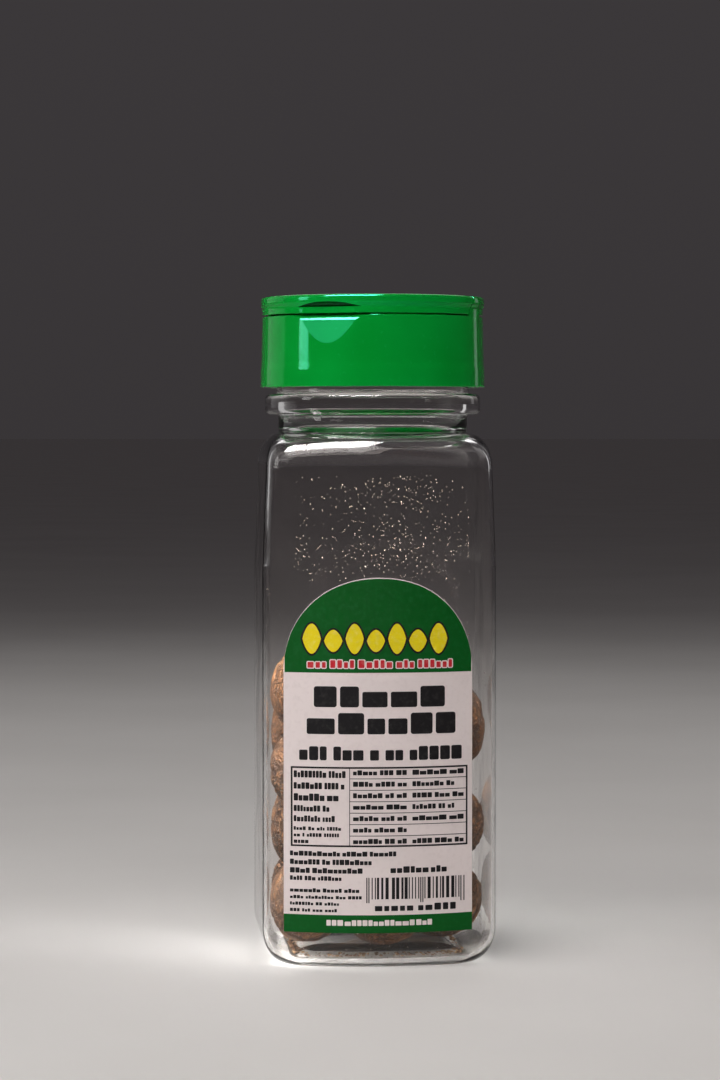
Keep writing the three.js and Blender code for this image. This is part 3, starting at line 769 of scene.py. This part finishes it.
paper = printed("Label paper", (0.8, 0.71, 0.7), (0.74, 0.65, 0.64), 0.42)
green_ink = printed("Green ink", (0.0, 0.09, 0.009), (0.001, 0.112, 0.018), 0.34)
black_ink = printed("Black ink", (0.01, 0.009, 0.01), (0.03, 0.027, 0.027), 0.36)
yellow_ink = printed("Yellow ink", (0.83, 0.68, 0.012), (0.8, 0.7, 0.12), 0.32)
red_ink = printed("Red ink", (0.55, 0.02, 0.03), (0.6, 0.12, 0.12), 0.34)


def arch_height(x):
    across = min(1.0, abs((x - LABEL_MIDDLE) / LABEL_HALF_WIDTH))
    rise = max(0.0, 1 - across**LABEL_POWER) ** (1 / LABEL_POWER)
    return mix(LABEL_SPRING, LABEL_TOP, rise)


def bowed(x, z, radius):
    lean = math.asin(x / FACE_RADIUS)
    return (radius * math.sin(lean), FACE_CENTRE - radius * math.cos(lean), z)


def slab(columns, back, front):
    """Points and faces of a thin closed sheet on the bow, from (x, low, high) columns."""
    rings = []
    for x, low, high in columns:
        corners = [(front, low), (front, high), (back, high), (back, low)]
        rings.append([bowed(x, z, radius) for radius, z in corners])
    points = [point for ring in rings for point in ring]
    faces = [(3, 2, 1, 0)]
    for level in range(len(rings) - 1):
        for k in range(4):
            a, b = 4 * level + k, 4 * level + (k + 1) % 4
            faces.append((a, b, b + 4, a + 4))
    last = 4 * (len(rings) - 1)
    faces.append((last, last + 1, last + 2, last + 3))
    return points, faces


def spaced(start, end):
    """Places from start to end, no further apart than the bow allows."""
    count = max(1, math.ceil((end - start) / BOW_STEP))
    return [mix(start, end, k / count) for k in range(count + 1)]


def block(left, right, low, high, corner=0.0):
    """The columns of a rectangle with rounded corners."""
    corner = min(corner, (high - low) / 2, (right - left) / 2)
    if corner <= 0:
        return [(x, low, high) for x in spaced(left, right)]
    turns = [math.radians(15 * k) for k in range(7)]
    ends = [(corner * (1 - math.cos(t)), corner * (1 - math.sin(t))) for t in turns]
    columns = [(left + into, low + cut, high - cut) for into, cut in ends]
    columns += [(x, low, high) for x in spaced(left + corner, right - corner)[1:-1]]
    columns += [(right - into, low + cut, high - cut) for into, cut in reversed(ends)]
    return columns


def add_print(name, shapes, material, layer):
    """A piece of one ink: its shapes as slabs on the paper, a layer up for each ink under it."""
    back = PAPER_FRONT + INK_LAYER * layer
    points, faces = [], []
    for columns in shapes:
        more, more_faces = slab(columns, back, back + INK_LAYER)
        faces += [[len(points) + k for k in face] for face in more_faces]
        points += more
    mesh = mesh_of(name, points, faces)
    return add_piece(name, mesh, material, "pack", 30)


def arched(left, right, low, shrink):
    """The columns of a shape under the label's arch, drawn in from its edge."""
    steps = 72
    xs = [mix(left, right, 0.5 - 0.5 * math.cos(math.pi * k / steps)) for k in range(steps + 1)]
    return [(x, low, max(low, arch_height(x) - shrink)) for x in xs]


label_left, label_right = LABEL_MIDDLE - LABEL_HALF_WIDTH, LABEL_MIDDLE + LABEL_HALF_WIDTH
label_points, label_faces = slab(
    arched(label_left, label_right, LABEL_BOTTOM, 0.0), PAPER_BACK, PAPER_FRONT
)
label = add_piece(
    "paper_label", mesh_of("paper_label", label_points, label_faces), paper, "pack", 30
)
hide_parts("label")

BAND_TOP = 13.7
GREEN_EDGE = 0.25
green_arch = arched(label_left + GREEN_EDGE, label_right - GREEN_EDGE, LABEL_SPRING, GREEN_EDGE)
green_band = block(label_left, label_right, LABEL_BOTTOM, BAND_TOP)
add_print("green_print", [green_arch, green_band], green_ink, 0)


def grown(box, by):
    left, right, low, high = box
    return (left - by, right + by, low - by, high + by)


def words(left, right, low, high, sizes, draw, gap=0.22, space=0.9):
    """Boxes of plain upright blocks in groups, spread over a width like a line of type."""
    letters = sum(sizes)
    room = right - left - space * (len(sizes) - 1) - gap * (letters - len(sizes))
    widths = [0.75 + 0.5 * draw() for _ in range(letters)]
    unit = room / sum(widths)
    boxes, x = [], left
    for count in sizes:
        for _ in range(count):
            width = widths.pop() * unit
            top = high if draw() > 0.45 else mix(low, high, 0.74)
            boxes.append((x, x + width, low, top))
            x += width + gap
        x += space - gap
    return boxes


def type_of(boxes):
    """The columns of a line of type's blocks, with corners to suit their height."""
    return [block(*box, 0.12 * (box[3] - box[2])) for box in boxes]


def leaf(left, right, middle, half, grow):
    """The columns of a pointed oval, made larger all round for its outline."""
    steps = 16
    columns = []
    for k in range(steps + 1):
        share = k / steps
        x = mix(left - grow, right + grow, share)
        reach = (half + grow) * math.sin(math.pi * share) ** 0.75
        columns.append((x, middle - reach, middle + reach))
    return columns


# A row of yellow seeds with dark outlines, and under it a row of red blocks edged in white
draw = seeded_numbers(2024)
SEED_COUNT, SEED_PITCH, SEED_FIRST = 7, 5.15, -19.6
seeds = []
for k in range(SEED_COUNT):
    left = SEED_FIRST + k * SEED_PITCH
    half = 3.7 if k % 2 == 0 else 2.7
    seeds.append((left, left + SEED_PITCH - 0.75, 81.3 + (0.0 if k % 2 == 0 else -0.5), half))
add_print("seed_outlines", [leaf(*seed, 0.5) for seed in seeds], black_ink, 1)
add_print("seed_row", [leaf(*seed, 0.0) for seed in seeds], yellow_ink, 2)
red_boxes = words(-18.4, 16.9, 74.2, 76.1, [3, 4, 5, 3, 6], draw, 0.5, 1.1)
add_print("red_edges", [block(*grown(box, 0.24), 0.4) for box in red_boxes], paper, 1)
add_print("red_row", type_of(red_boxes), red_ink, 2)

# Two heavy rows of plain blocks, and a lighter row under them
type_rows = type_of(words(-16.9, 15.1, 64.6, 69.7, [5], draw, 0.8))
type_rows += type_of(words(-18.6, 17.8, 58.0, 63.2, [6], draw, 0.8))
type_rows += type_of(words(-20.4, 19.4, 51.6, 55.0, [3, 3, 1, 2, 5], draw, 0.35, 1.6))

TABLE_LEFT, TABLE_RIGHT, TABLE_LOW, TABLE_HIGH = -22.4, 20.9, 30.4, 50.0
RULE, THIN_RULE = 0.42, 0.16
TABLE_SPLIT = -8.4
type_rows.append(block(TABLE_LEFT, TABLE_RIGHT, TABLE_HIGH - RULE, TABLE_HIGH))
type_rows.append(block(TABLE_LEFT, TABLE_RIGHT, TABLE_LOW, TABLE_LOW + RULE))
for x in (TABLE_LEFT, TABLE_RIGHT - RULE):
    type_rows.append(block(x, x + RULE, TABLE_LOW + RULE, TABLE_HIGH - RULE))
type_rows.append(
    block(TABLE_SPLIT, TABLE_SPLIT + THIN_RULE, TABLE_LOW + RULE, TABLE_HIGH - RULE)
)
TABLE_ROWS = 7
row_height = (TABLE_HIGH - TABLE_LOW) / TABLE_ROWS
for k in range(TABLE_ROWS):
    top = TABLE_HIGH - k * row_height
    if k:
        type_rows.append(
            block(TABLE_SPLIT + THIN_RULE, TABLE_RIGHT - RULE, top - THIN_RULE, top)
        )
    low, high = top - 0.72 * row_height, top - 0.28 * row_height
    sizes = [[5, 3, 2], [4, 4, 2], [6, 2, 2], [5, 3]][k % 4]
    type_rows += type_of(words(TABLE_SPLIT + 0.9, 5.6, low, high, sizes, draw, 0.16, 0.7))
    if k != 5:
        sizes = [[4, 3, 2], [6, 2, 2], [5, 2], [7, 2]][(k + 2) % 4]
        type_rows += type_of(words(7.0, 19.9 - 2.4 * (k % 2), low, high, sizes, draw, 0.16, 0.7))

# Lines of small type in the table's left cell and under the table
LEFT_LINES = [
    (47.3, 49.0, -9.3, [9, 5]),
    (44.5, 46.1, -9.6, [7, 4, 1]),
    (41.6, 43.4, -11.0, [6, 2]),
    (39.0, 40.5, -13.2, [8, 2]),
    (36.5, 38.0, -11.9, [8, 4]),
    (34.4, 35.3, -10.4, [4, 2, 3, 5]),
    (32.8, 33.7, -10.9, [2, 1, 5, 6]),
    (31.2, 32.0, -18.2, [4]),
]
for low, high, right, sizes in LEFT_LINES:
    type_rows += type_of(words(-21.7, right, low, high, sizes, draw, 0.14, 0.6))
LOWER_LINES = [
    (28.1, 29.3, 3.0, [11, 5, 6]),
    (26.0, 27.3, -3.0, [7, 2, 9]),
    (23.9, 25.2, -5.2, [4, 10]),
    (22.1, 23.2, -10.3, [4, 3, 7]),
    (19.2, 20.2, -6.0, [7, 5, 4]),
    (17.6, 18.4, -5.4, [4, 9, 3, 4]),
    (16.0, 16.8, -10.9, [8, 2, 5]),
    (14.4, 15.2, -11.4, [3, 3, 3, 4]),
]
for low, high, right, sizes in LOWER_LINES:
    type_rows += type_of(words(-22.6, right, low, high, sizes, draw, 0.14, 0.6))
type_rows += type_of(words(1.6, 15.6, 24.0, 25.6, [6, 3], draw, 0.25, 0.6))

# Upright bars of uneven widths at the lower right, with a row of small blocks under them
BARS_LEFT, BARS_RIGHT, BARS_LOW, BARS_HIGH = -4.3, 20.4, 17.6, 22.9
BAR_UNIT = 0.26
x = BARS_LEFT
bar = 0
while x < BARS_RIGHT:
    width = BAR_UNIT * (1 + int(3 * draw() ** 1.5))
    guard = 0.9 if bar in (0, 1, 15, 16) or x > BARS_RIGHT - 1.6 else 0.0
    type_rows.append(block(x, min(x + width, BARS_RIGHT), BARS_LOW - guard, BARS_HIGH))
    x += width + BAR_UNIT * (1 + int(2.4 * draw() ** 1.5))
    bar += 1
type_rows += type_of(words(-2.2, 17.9, 14.7, 16.4, [5, 5], draw, 0.5, 1.2))
add_print("black_print", type_rows, black_ink, 1)

small_white = type_of(words(-13.9, 11.9, 11.1, 12.5, [3, 12, 3], draw, 0.24, 0.4))
add_print("band_print", small_white, paper, 1)

# The cap
# An injection-moulded screw cap of glossy green plastic. Its deck has a half-moon opening
# and sifter holes, a bridge across it carries both doors, and each side has a thumb scoop.
CAP_TURN = -29
CAP_BOTTOM, CAP_TOP = 142.8, 165.4
CAP_RADIUS, CAP_BORE, SEAM_RADIUS = 28.15, 25.6, 27.73
CAP_STEP_HEIGHT, CAP_STEP_IN, CAP_STEP_SLOPE = 148.8, 0.17, 1.5
DECK_TOP, DECK_BOTTOM = 160.4, 158.9
FLARE_BOTTOM, LIP_BOTTOM, LIP_RADIUS = 162.4, 163.6, 28.1
BRIDGE_TOP_HALF, BRIDGE_FOOT_HALF = 1.2, 3.4
SCOOP_DEPTH, SCOOP_HEIGHT = 1.15, 6.2
BROW_RADIUS, BROW_STEPS = 2.0, 12
POUR_RADIUS, POUR_EDGE = 21.0, 5.2
SIFTER_RADIUS = 2.5
SIFTER_ROWS = [(8.5, (-13.5, -4.5, 4.5, 13.5)), (16.0, (-9, 0, 9))]
LATHE_STEPS = 192
EDGE_ROUNDING = 0.16

green_plastic, tree, shader, output = new_material("Green plastic", (0.002, 0.34, 0.035))
shader.inputs["Specular Tint"].default_value = (0.06, 1.0, 0.66, 1)
skin = use_group(tree, moulded, Waves=55.0, Haze=900.0)
clouded = fitted(tree, skin.outputs["Wave"], 0.3, 0.7, 0.0, 1.0)
base = mixed(tree, clouded, (0.001, 0.285, 0.025, 1), (0.002, 0.34, 0.038, 1))
base = mixed(
    tree, fitted(tree, skin.outputs["Film"], 0.62, 0.74, 0.0, 0.3), base, (0.015, 0.4, 0.08, 1)
)
# Painted shade: the faces marked under the doors' notch overhang turn near-black green
painted_shade = add_node(tree, "Attribute", attribute_name="notch_painted_shade").outputs["Fac"]
base = mixed(tree, painted_shade, base, (0.001, 0.03, 0.003, 1))
tree.links.new(base, shader.inputs["Base Color"])
tree.links.new(
    fitted(tree, skin.outputs["Film"], 0.3, 0.75, 0.05, 0.11), shader.inputs["Roughness"]
)
fine = add_node(
    tree, "Bump", {"Height": skin.outputs["Film"], "Strength": 0.12, "Distance": 0.00004}
)
wave = add_node(
    tree,
    "Bump",
    {
        "Height": skin.outputs["Wave"],
        "Strength": 0.12,
        "Distance": 0.0005,
        "Normal": fine.outputs["Normal"],
    },
)
tree.links.new(wave.outputs["Normal"], shader.inputs["Normal"])


def blank(name, points, faces):
    """A solid in millimetres that is only there to be cut or joined."""
    solid = bpy.data.objects.new(name, mesh_of(name, points, faces))
    bpy.context.scene.collection.objects.link(solid)
    return solid


def turned(name, corners):
    """A solid of revolution from a profile of (radius, height, rounding) corners."""
    rings = [raised(circle(radius, LATHE_STEPS), height) for radius, height in rounded(corners)]
    return blank(name, *loft(rings))


def prism(name, profile, reach):
    """A profile of (y, z) points stretched along X to both sides."""
    return blank(name, *loft([[(x, y, z) for y, z in profile] for x in (-reach, reach)]))


def upright(name, ring, low, high):
    return blank(name, *loft([raised(ring, low), raised(ring, high)]))


def worked(solid, steps):
    """The solid after each (tool, operation), with the tools used up."""
    for tool, operation in steps:
        cut = solid.modifiers.new("cut", "BOOLEAN")
        cut.solver = "EXACT"
        cut.operation = operation
        cut.object = tool
        seen = solid.evaluated_get(bpy.context.evaluated_depsgraph_get())
        result = bpy.data.meshes.new_from_object(seen)
        solid.modifiers.clear()
        solid.data = result
        bpy.data.objects.remove(tool)
    return solid


def finished(solid, rounding):
    """The solid's mesh with its flat faces joined up and its cut edges rounded."""
    tidy = bmesh.new()
    tidy.from_mesh(solid.data)
    bmesh.ops.remove_doubles(tidy, verts=tidy.verts, dist=0.002)
    bmesh.ops.dissolve_limit(
        tidy, angle_limit=math.radians(0.2), verts=tidy.verts, edges=tidy.edges
    )
    tidy.to_mesh(solid.data)
    tidy.free()
    bevel = solid.modifiers.new("rounding", "BEVEL")
    bevel.width = rounding
    bevel.segments = 3
    bevel.limit_method = "ANGLE"
    bevel.angle_limit = math.radians(38)
    solid.data.shade_smooth()
    solid.data.set_sharp_from_angle(angle=math.radians(9))
    weigh = solid.modifiers.new("normals", "WEIGHTED_NORMAL")
    weigh.keep_sharp = True
    seen = solid.evaluated_get(bpy.context.evaluated_depsgraph_get())
    mesh = bpy.data.meshes.new_from_object(seen)
    bpy.data.objects.remove(solid)
    mesh.transform(Matrix.Rotation(math.radians(CAP_TURN), 4, "Z"))
    return mesh


def flank_at(height):
    """Where the slanted flank of the bridge is at a height."""
    share = (height - DECK_TOP) / (CAP_TOP - DECK_TOP)
    return mix(BRIDGE_FOOT_HALF, BRIDGE_TOP_HALF, share)


lid_edge = [
    (SEAM_RADIUS, FLARE_BOTTOM, 0.5),
    (LIP_RADIUS, LIP_BOTTOM, 0.4),
    (LIP_RADIUS, CAP_TOP, 1.0),
    (SEAM_RADIUS - 8, CAP_TOP, 0),
]
shell = turned(
    "shell",
    [
        (CAP_BORE, DECK_BOTTOM, 0),
        (CAP_BORE, CAP_BOTTOM, 0.3),
        (CAP_RADIUS, CAP_BOTTOM, 0.35),
        (CAP_RADIUS, CAP_STEP_HEIGHT - CAP_STEP_SLOPE, 0.5),
        (CAP_RADIUS - CAP_STEP_IN, CAP_STEP_HEIGHT, 0.4),
        (SEAM_RADIUS, DECK_TOP, 0.25),
        (SEAM_RADIUS - 6, DECK_TOP, 0),
    ],
)
low_flank = flank_at(DECK_BOTTOM + 0.5)
bridge = prism(
    "bridge",
    [
        (-low_flank, DECK_BOTTOM + 0.5),
        (low_flank, DECK_BOTTOM + 0.5),
        (BRIDGE_TOP_HALF, CAP_TOP),
        (-BRIDGE_TOP_HALF, CAP_TOP),
    ],
    CAP_RADIUS,
)
bridge_reach = turned("bridge_reach", [(SEAM_RADIUS - 0.01, DECK_BOTTOM, 0)] + lid_edge)
bridge = worked(bridge, [(bridge_reach, "INTERSECT")])

# Each scoop is a slanted flat with a rounded brow, where it meets the deck
outwards = SEAM_RADIUS + 5
scoop_lean = math.atan2(SCOOP_DEPTH, SCOOP_HEIGHT)
brow_back = BROW_RADIUS * (1 - math.sin(scoop_lean)) / math.cos(scoop_lean)
brow_middle = SEAM_RADIUS - SCOOP_DEPTH - brow_back
scoop_profile = [(brow_middle, DECK_TOP + 1)]
for k in range(BROW_STEPS + 1):
    angle = mix(math.pi / 2, scoop_lean, k / BROW_STEPS)
    out, up = BROW_RADIUS * math.cos(angle), BROW_RADIUS * math.sin(angle)
    scoop_profile.append((brow_middle + out, DECK_TOP - BROW_RADIUS + up))
scoop_profile += [
    (SEAM_RADIUS + SCOOP_DEPTH, DECK_TOP - 2 * SCOOP_HEIGHT),
    (outwards, DECK_TOP - 2 * SCOOP_HEIGHT),
    (outwards, DECK_TOP + 1),
]
scoops = []
for facing in (-1, 1):
    profile = [(facing * across, height) for across, height in scoop_profile]
    scoops.append(prism("scoop", profile, 2 * SCOOP_HEIGHT))
pour_start = math.asin(POUR_EDGE / POUR_RADIUS)
POUR_STEPS = 60
pour_ring = []
for k in range(POUR_STEPS + 1):
    angle = mix(math.pi + pour_start, 2 * math.pi - pour_start, k / POUR_STEPS)
    pour_ring.append((POUR_RADIUS * math.cos(angle), POUR_RADIUS * math.sin(angle)))
openings = [upright("pour_opening", pour_ring, DECK_BOTTOM - 2, DECK_TOP + 2)]
for y, xs in SIFTER_ROWS:
    for x in xs:
        ring = [(x + dx, y + dy) for dx, dy in circle(SIFTER_RADIUS, 40)]
        openings.append(upright("sifter_hole", ring, DECK_BOTTOM - 2, DECK_TOP + 2))
cuts = [(tool, "DIFFERENCE") for tool in scoops + openings]
cap_mesh = finished(worked(shell, [(bridge, "UNION")] + cuts), EDGE_ROUNDING)
cap = add_piece("green_cap", cap_mesh, green_plastic, "pack")
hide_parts("cap")

# The doors
# Each is half of a shallow lid of the same green plastic, moulded on with a living hinge at
# the bridge. A thumb notch in its rim lies over the scoop of the cap, and the faces under its
# overhang are marked for painted shade, a near-black green in the cap's material.
DOOR_GAP, DOOR_PLATE, DOOR_BORE = 0.4, 1.2, 26.0
NOTCH_DEPTH, NOTCH_WALL_TOP = 0.92, 162.3
NOTCH_POCKET, NOTCH_SLOPE, NOTCH_REACH = 0.45, 0.75, 4.0
rim_bottom = DECK_TOP + DOOR_GAP


def door_mesh():
    lid = turned(
        "lid",
        [
            (SEAM_RADIUS - 8, CAP_TOP - DOOR_PLATE, 0),
            (DOOR_BORE, CAP_TOP - DOOR_PLATE, 0.5),
            (DOOR_BORE, rim_bottom, 0.2),
            (SEAM_RADIUS, rim_bottom, 0.2),
        ]
        + lid_edge,
    )
    low, high = flank_at(DECK_BOTTOM) + DOOR_GAP, flank_at(CAP_TOP + 1) + DOOR_GAP
    far = CAP_RADIUS + 2
    half = prism(
        "half",
        [(-low, DECK_BOTTOM), (-high, CAP_TOP + 1), (-far, CAP_TOP + 1), (-far, DECK_BOTTOM)],
        far,
    )
    wall = -SEAM_RADIUS + NOTCH_DEPTH
    ceiling = NOTCH_WALL_TOP + NOTCH_SLOPE * (NOTCH_POCKET + NOTCH_REACH)
    notch = prism(
        "notch",
        [
            (wall, rim_bottom - 1),
            (wall, NOTCH_WALL_TOP),
            (wall + NOTCH_POCKET, NOTCH_WALL_TOP),
            (wall - NOTCH_REACH, ceiling),
            (wall - NOTCH_REACH, rim_bottom - 1),
        ],
        CAP_RADIUS / 2,
    )
    door = finished(worked(lid, [(half, "INTERSECT"), (notch, "DIFFERENCE")]), EDGE_ROUNDING)
    # Painted shade: the downward faces under the notch's overhang, outside the bore, are marked to
    # be darkened
    painted_shade = door.attributes.new("notch_painted_shade", "FLOAT", "FACE")
    for face, mark in zip(door.polygons, painted_shade.data):
        overhead = face.normal.z < -0.5 and NOTCH_WALL_TOP < face.center.z < LIP_BOTTOM
        mark.value = 1.0 if overhead and face.center.xy.length > DOOR_BORE else 0.0
    return door


front_mesh = door_mesh()
rear_mesh = front_mesh.copy()
rear_mesh.transform(Matrix.Rotation(math.pi, 4, "Z"))
for name, mesh in (("front_door", front_mesh), ("rear_door", rear_mesh)):
    door = add_piece("green_" + name, mesh, green_plastic, name)
    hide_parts(name)

# The floor, the lights and the camera
# A pale matt floor, one large soft lamp high at the front left, a window high at the left
# that draws the white reflections, upright soft lamps at the sides, and a dim room.
FLOOR_RADIUS = 60.0
pale_floor, tree, shader, output = new_material("Pale floor", (0.62, 0.6, 0.58))
place = add_node(tree, "TexCoord").outputs["Object"]
mottle = add_node(tree, "TexNoise", {"Vector": place, "Scale": 6.0, "Detail": 4.0})
tree.links.new(
    mixed(
        tree,
        fitted(tree, mottle.outputs["Fac"], 0.3, 0.7, 0.0, 1.0),
        (0.6, 0.58, 0.56, 1),
        (0.65, 0.63, 0.61, 1),
    ),
    shader.inputs["Base Color"],
)
shader.inputs["Roughness"].default_value = 0.6
floor_ring = [(FLOOR_RADIUS * x, FLOOR_RADIUS * y, 0.0) for x, y in circle(1.0, 96)]
floor_mesh = bpy.data.meshes.new("pale_floor")
floor_mesh.from_pydata(floor_ring, [], [list(range(len(floor_ring)))])
floor_mesh.materials.append(pale_floor)
floor = bpy.data.objects.new("pale_floor", floor_mesh)
bpy.context.scene.collection.objects.link(floor)

world = bpy.data.worlds.new("Dim room")
world.use_nodes = True
room = world.node_tree
facing = add_node(room, "TexCoord").outputs["Generated"]
upwards = add_node(room, "SeparateXYZ", {0: facing}).outputs["Z"]
room_colour = mixed(
    room, fitted(room, upwards, 0.0, 0.5, 0.0, 1.0), (0.04, 0.036, 0.038, 1), (0.055, 0.05, 0.053, 1)
)
room.links.new(room_colour, room.nodes["Background"].inputs["Color"])
bpy.context.scene.world = world
bpy.context.scene.view_settings.view_transform = "Standard"

AIM = Vector((0, 0, 0.085))


def add_lamp(name, azimuth, elevation, distance, width, height, power, colour=(1, 1, 1)):
    """A soft lamp that faces the jar from an azimuth (0 is the front, 90 the right)."""
    turn, tilt = math.radians(azimuth), math.radians(elevation)
    back = Vector(
        (math.sin(turn) * math.cos(tilt), -math.cos(turn) * math.cos(tilt), math.sin(tilt))
    )
    light = bpy.data.lights.new(name, "AREA")
    light.shape = "RECTANGLE"
    light.size, light.size_y = width, height
    light.energy = power
    light.color = colour
    lamp = bpy.data.objects.new(name, light)
    lamp.location = AIM + back * distance
    lamp.rotation_mode = "QUATERNION"
    lamp.rotation_quaternion = (-back).to_track_quat("-Z", "Y")
    lamp.visible_camera = False
    bpy.context.scene.collection.objects.link(lamp)
    return lamp


high_front = add_lamp("high_front", -24, 50, 0.9, 0.75, 0.42, 5.9, (1.0, 0.96, 0.94))
high_front.visible_glossy = False
right_fill = add_lamp("right_fill", 100, 40, 1.0, 0.6, 0.5, 0.9)
right_fill.visible_glossy = False
window = add_lamp("window", -34, 57, 0.9, 0.7, 0.38, 52.0)
window.visible_diffuse = False
scoop_glow = add_lamp("scoop_glow", -53, 27, 0.9, 0.24, 0.2, 0.45)
scoop_glow.visible_diffuse = False
add_lamp("left_strip", -80, 19, 0.75, 0.15, 0.3, 1.1)
add_lamp("left_wide", -126, 20, 0.9, 0.6, 0.6, 0.45)
add_lamp("right_rim", 128, 22, 0.9, 0.12, 0.6, 0.13)
add_lamp("back_fill", 176, 44, 1.1, 0.8, 0.5, 1.7)

CAMERA_AZIMUTH, CAMERA_DISTANCE, CAMERA_HEIGHT = -5.3, 0.831, 0.1317
CAMERA_HEADING, CAMERA_PITCH = 5.08, -1.88
camera_data = bpy.data.cameras.new("camera")
camera_data.sensor_width = 36
camera_data.lens = 109.8
camera = bpy.data.objects.new("camera", camera_data)
camera.location = (
    CAMERA_DISTANCE * math.sin(math.radians(CAMERA_AZIMUTH)),
    -CAMERA_DISTANCE * math.cos(math.radians(CAMERA_AZIMUTH)),
    CAMERA_HEIGHT,
)
camera.rotation_euler = (
    math.radians(90 + CAMERA_PITCH), 0, math.radians(-CAMERA_HEADING)
)
bpy.context.scene.collection.objects.link(camera)
bpy.context.scene.camera = camera
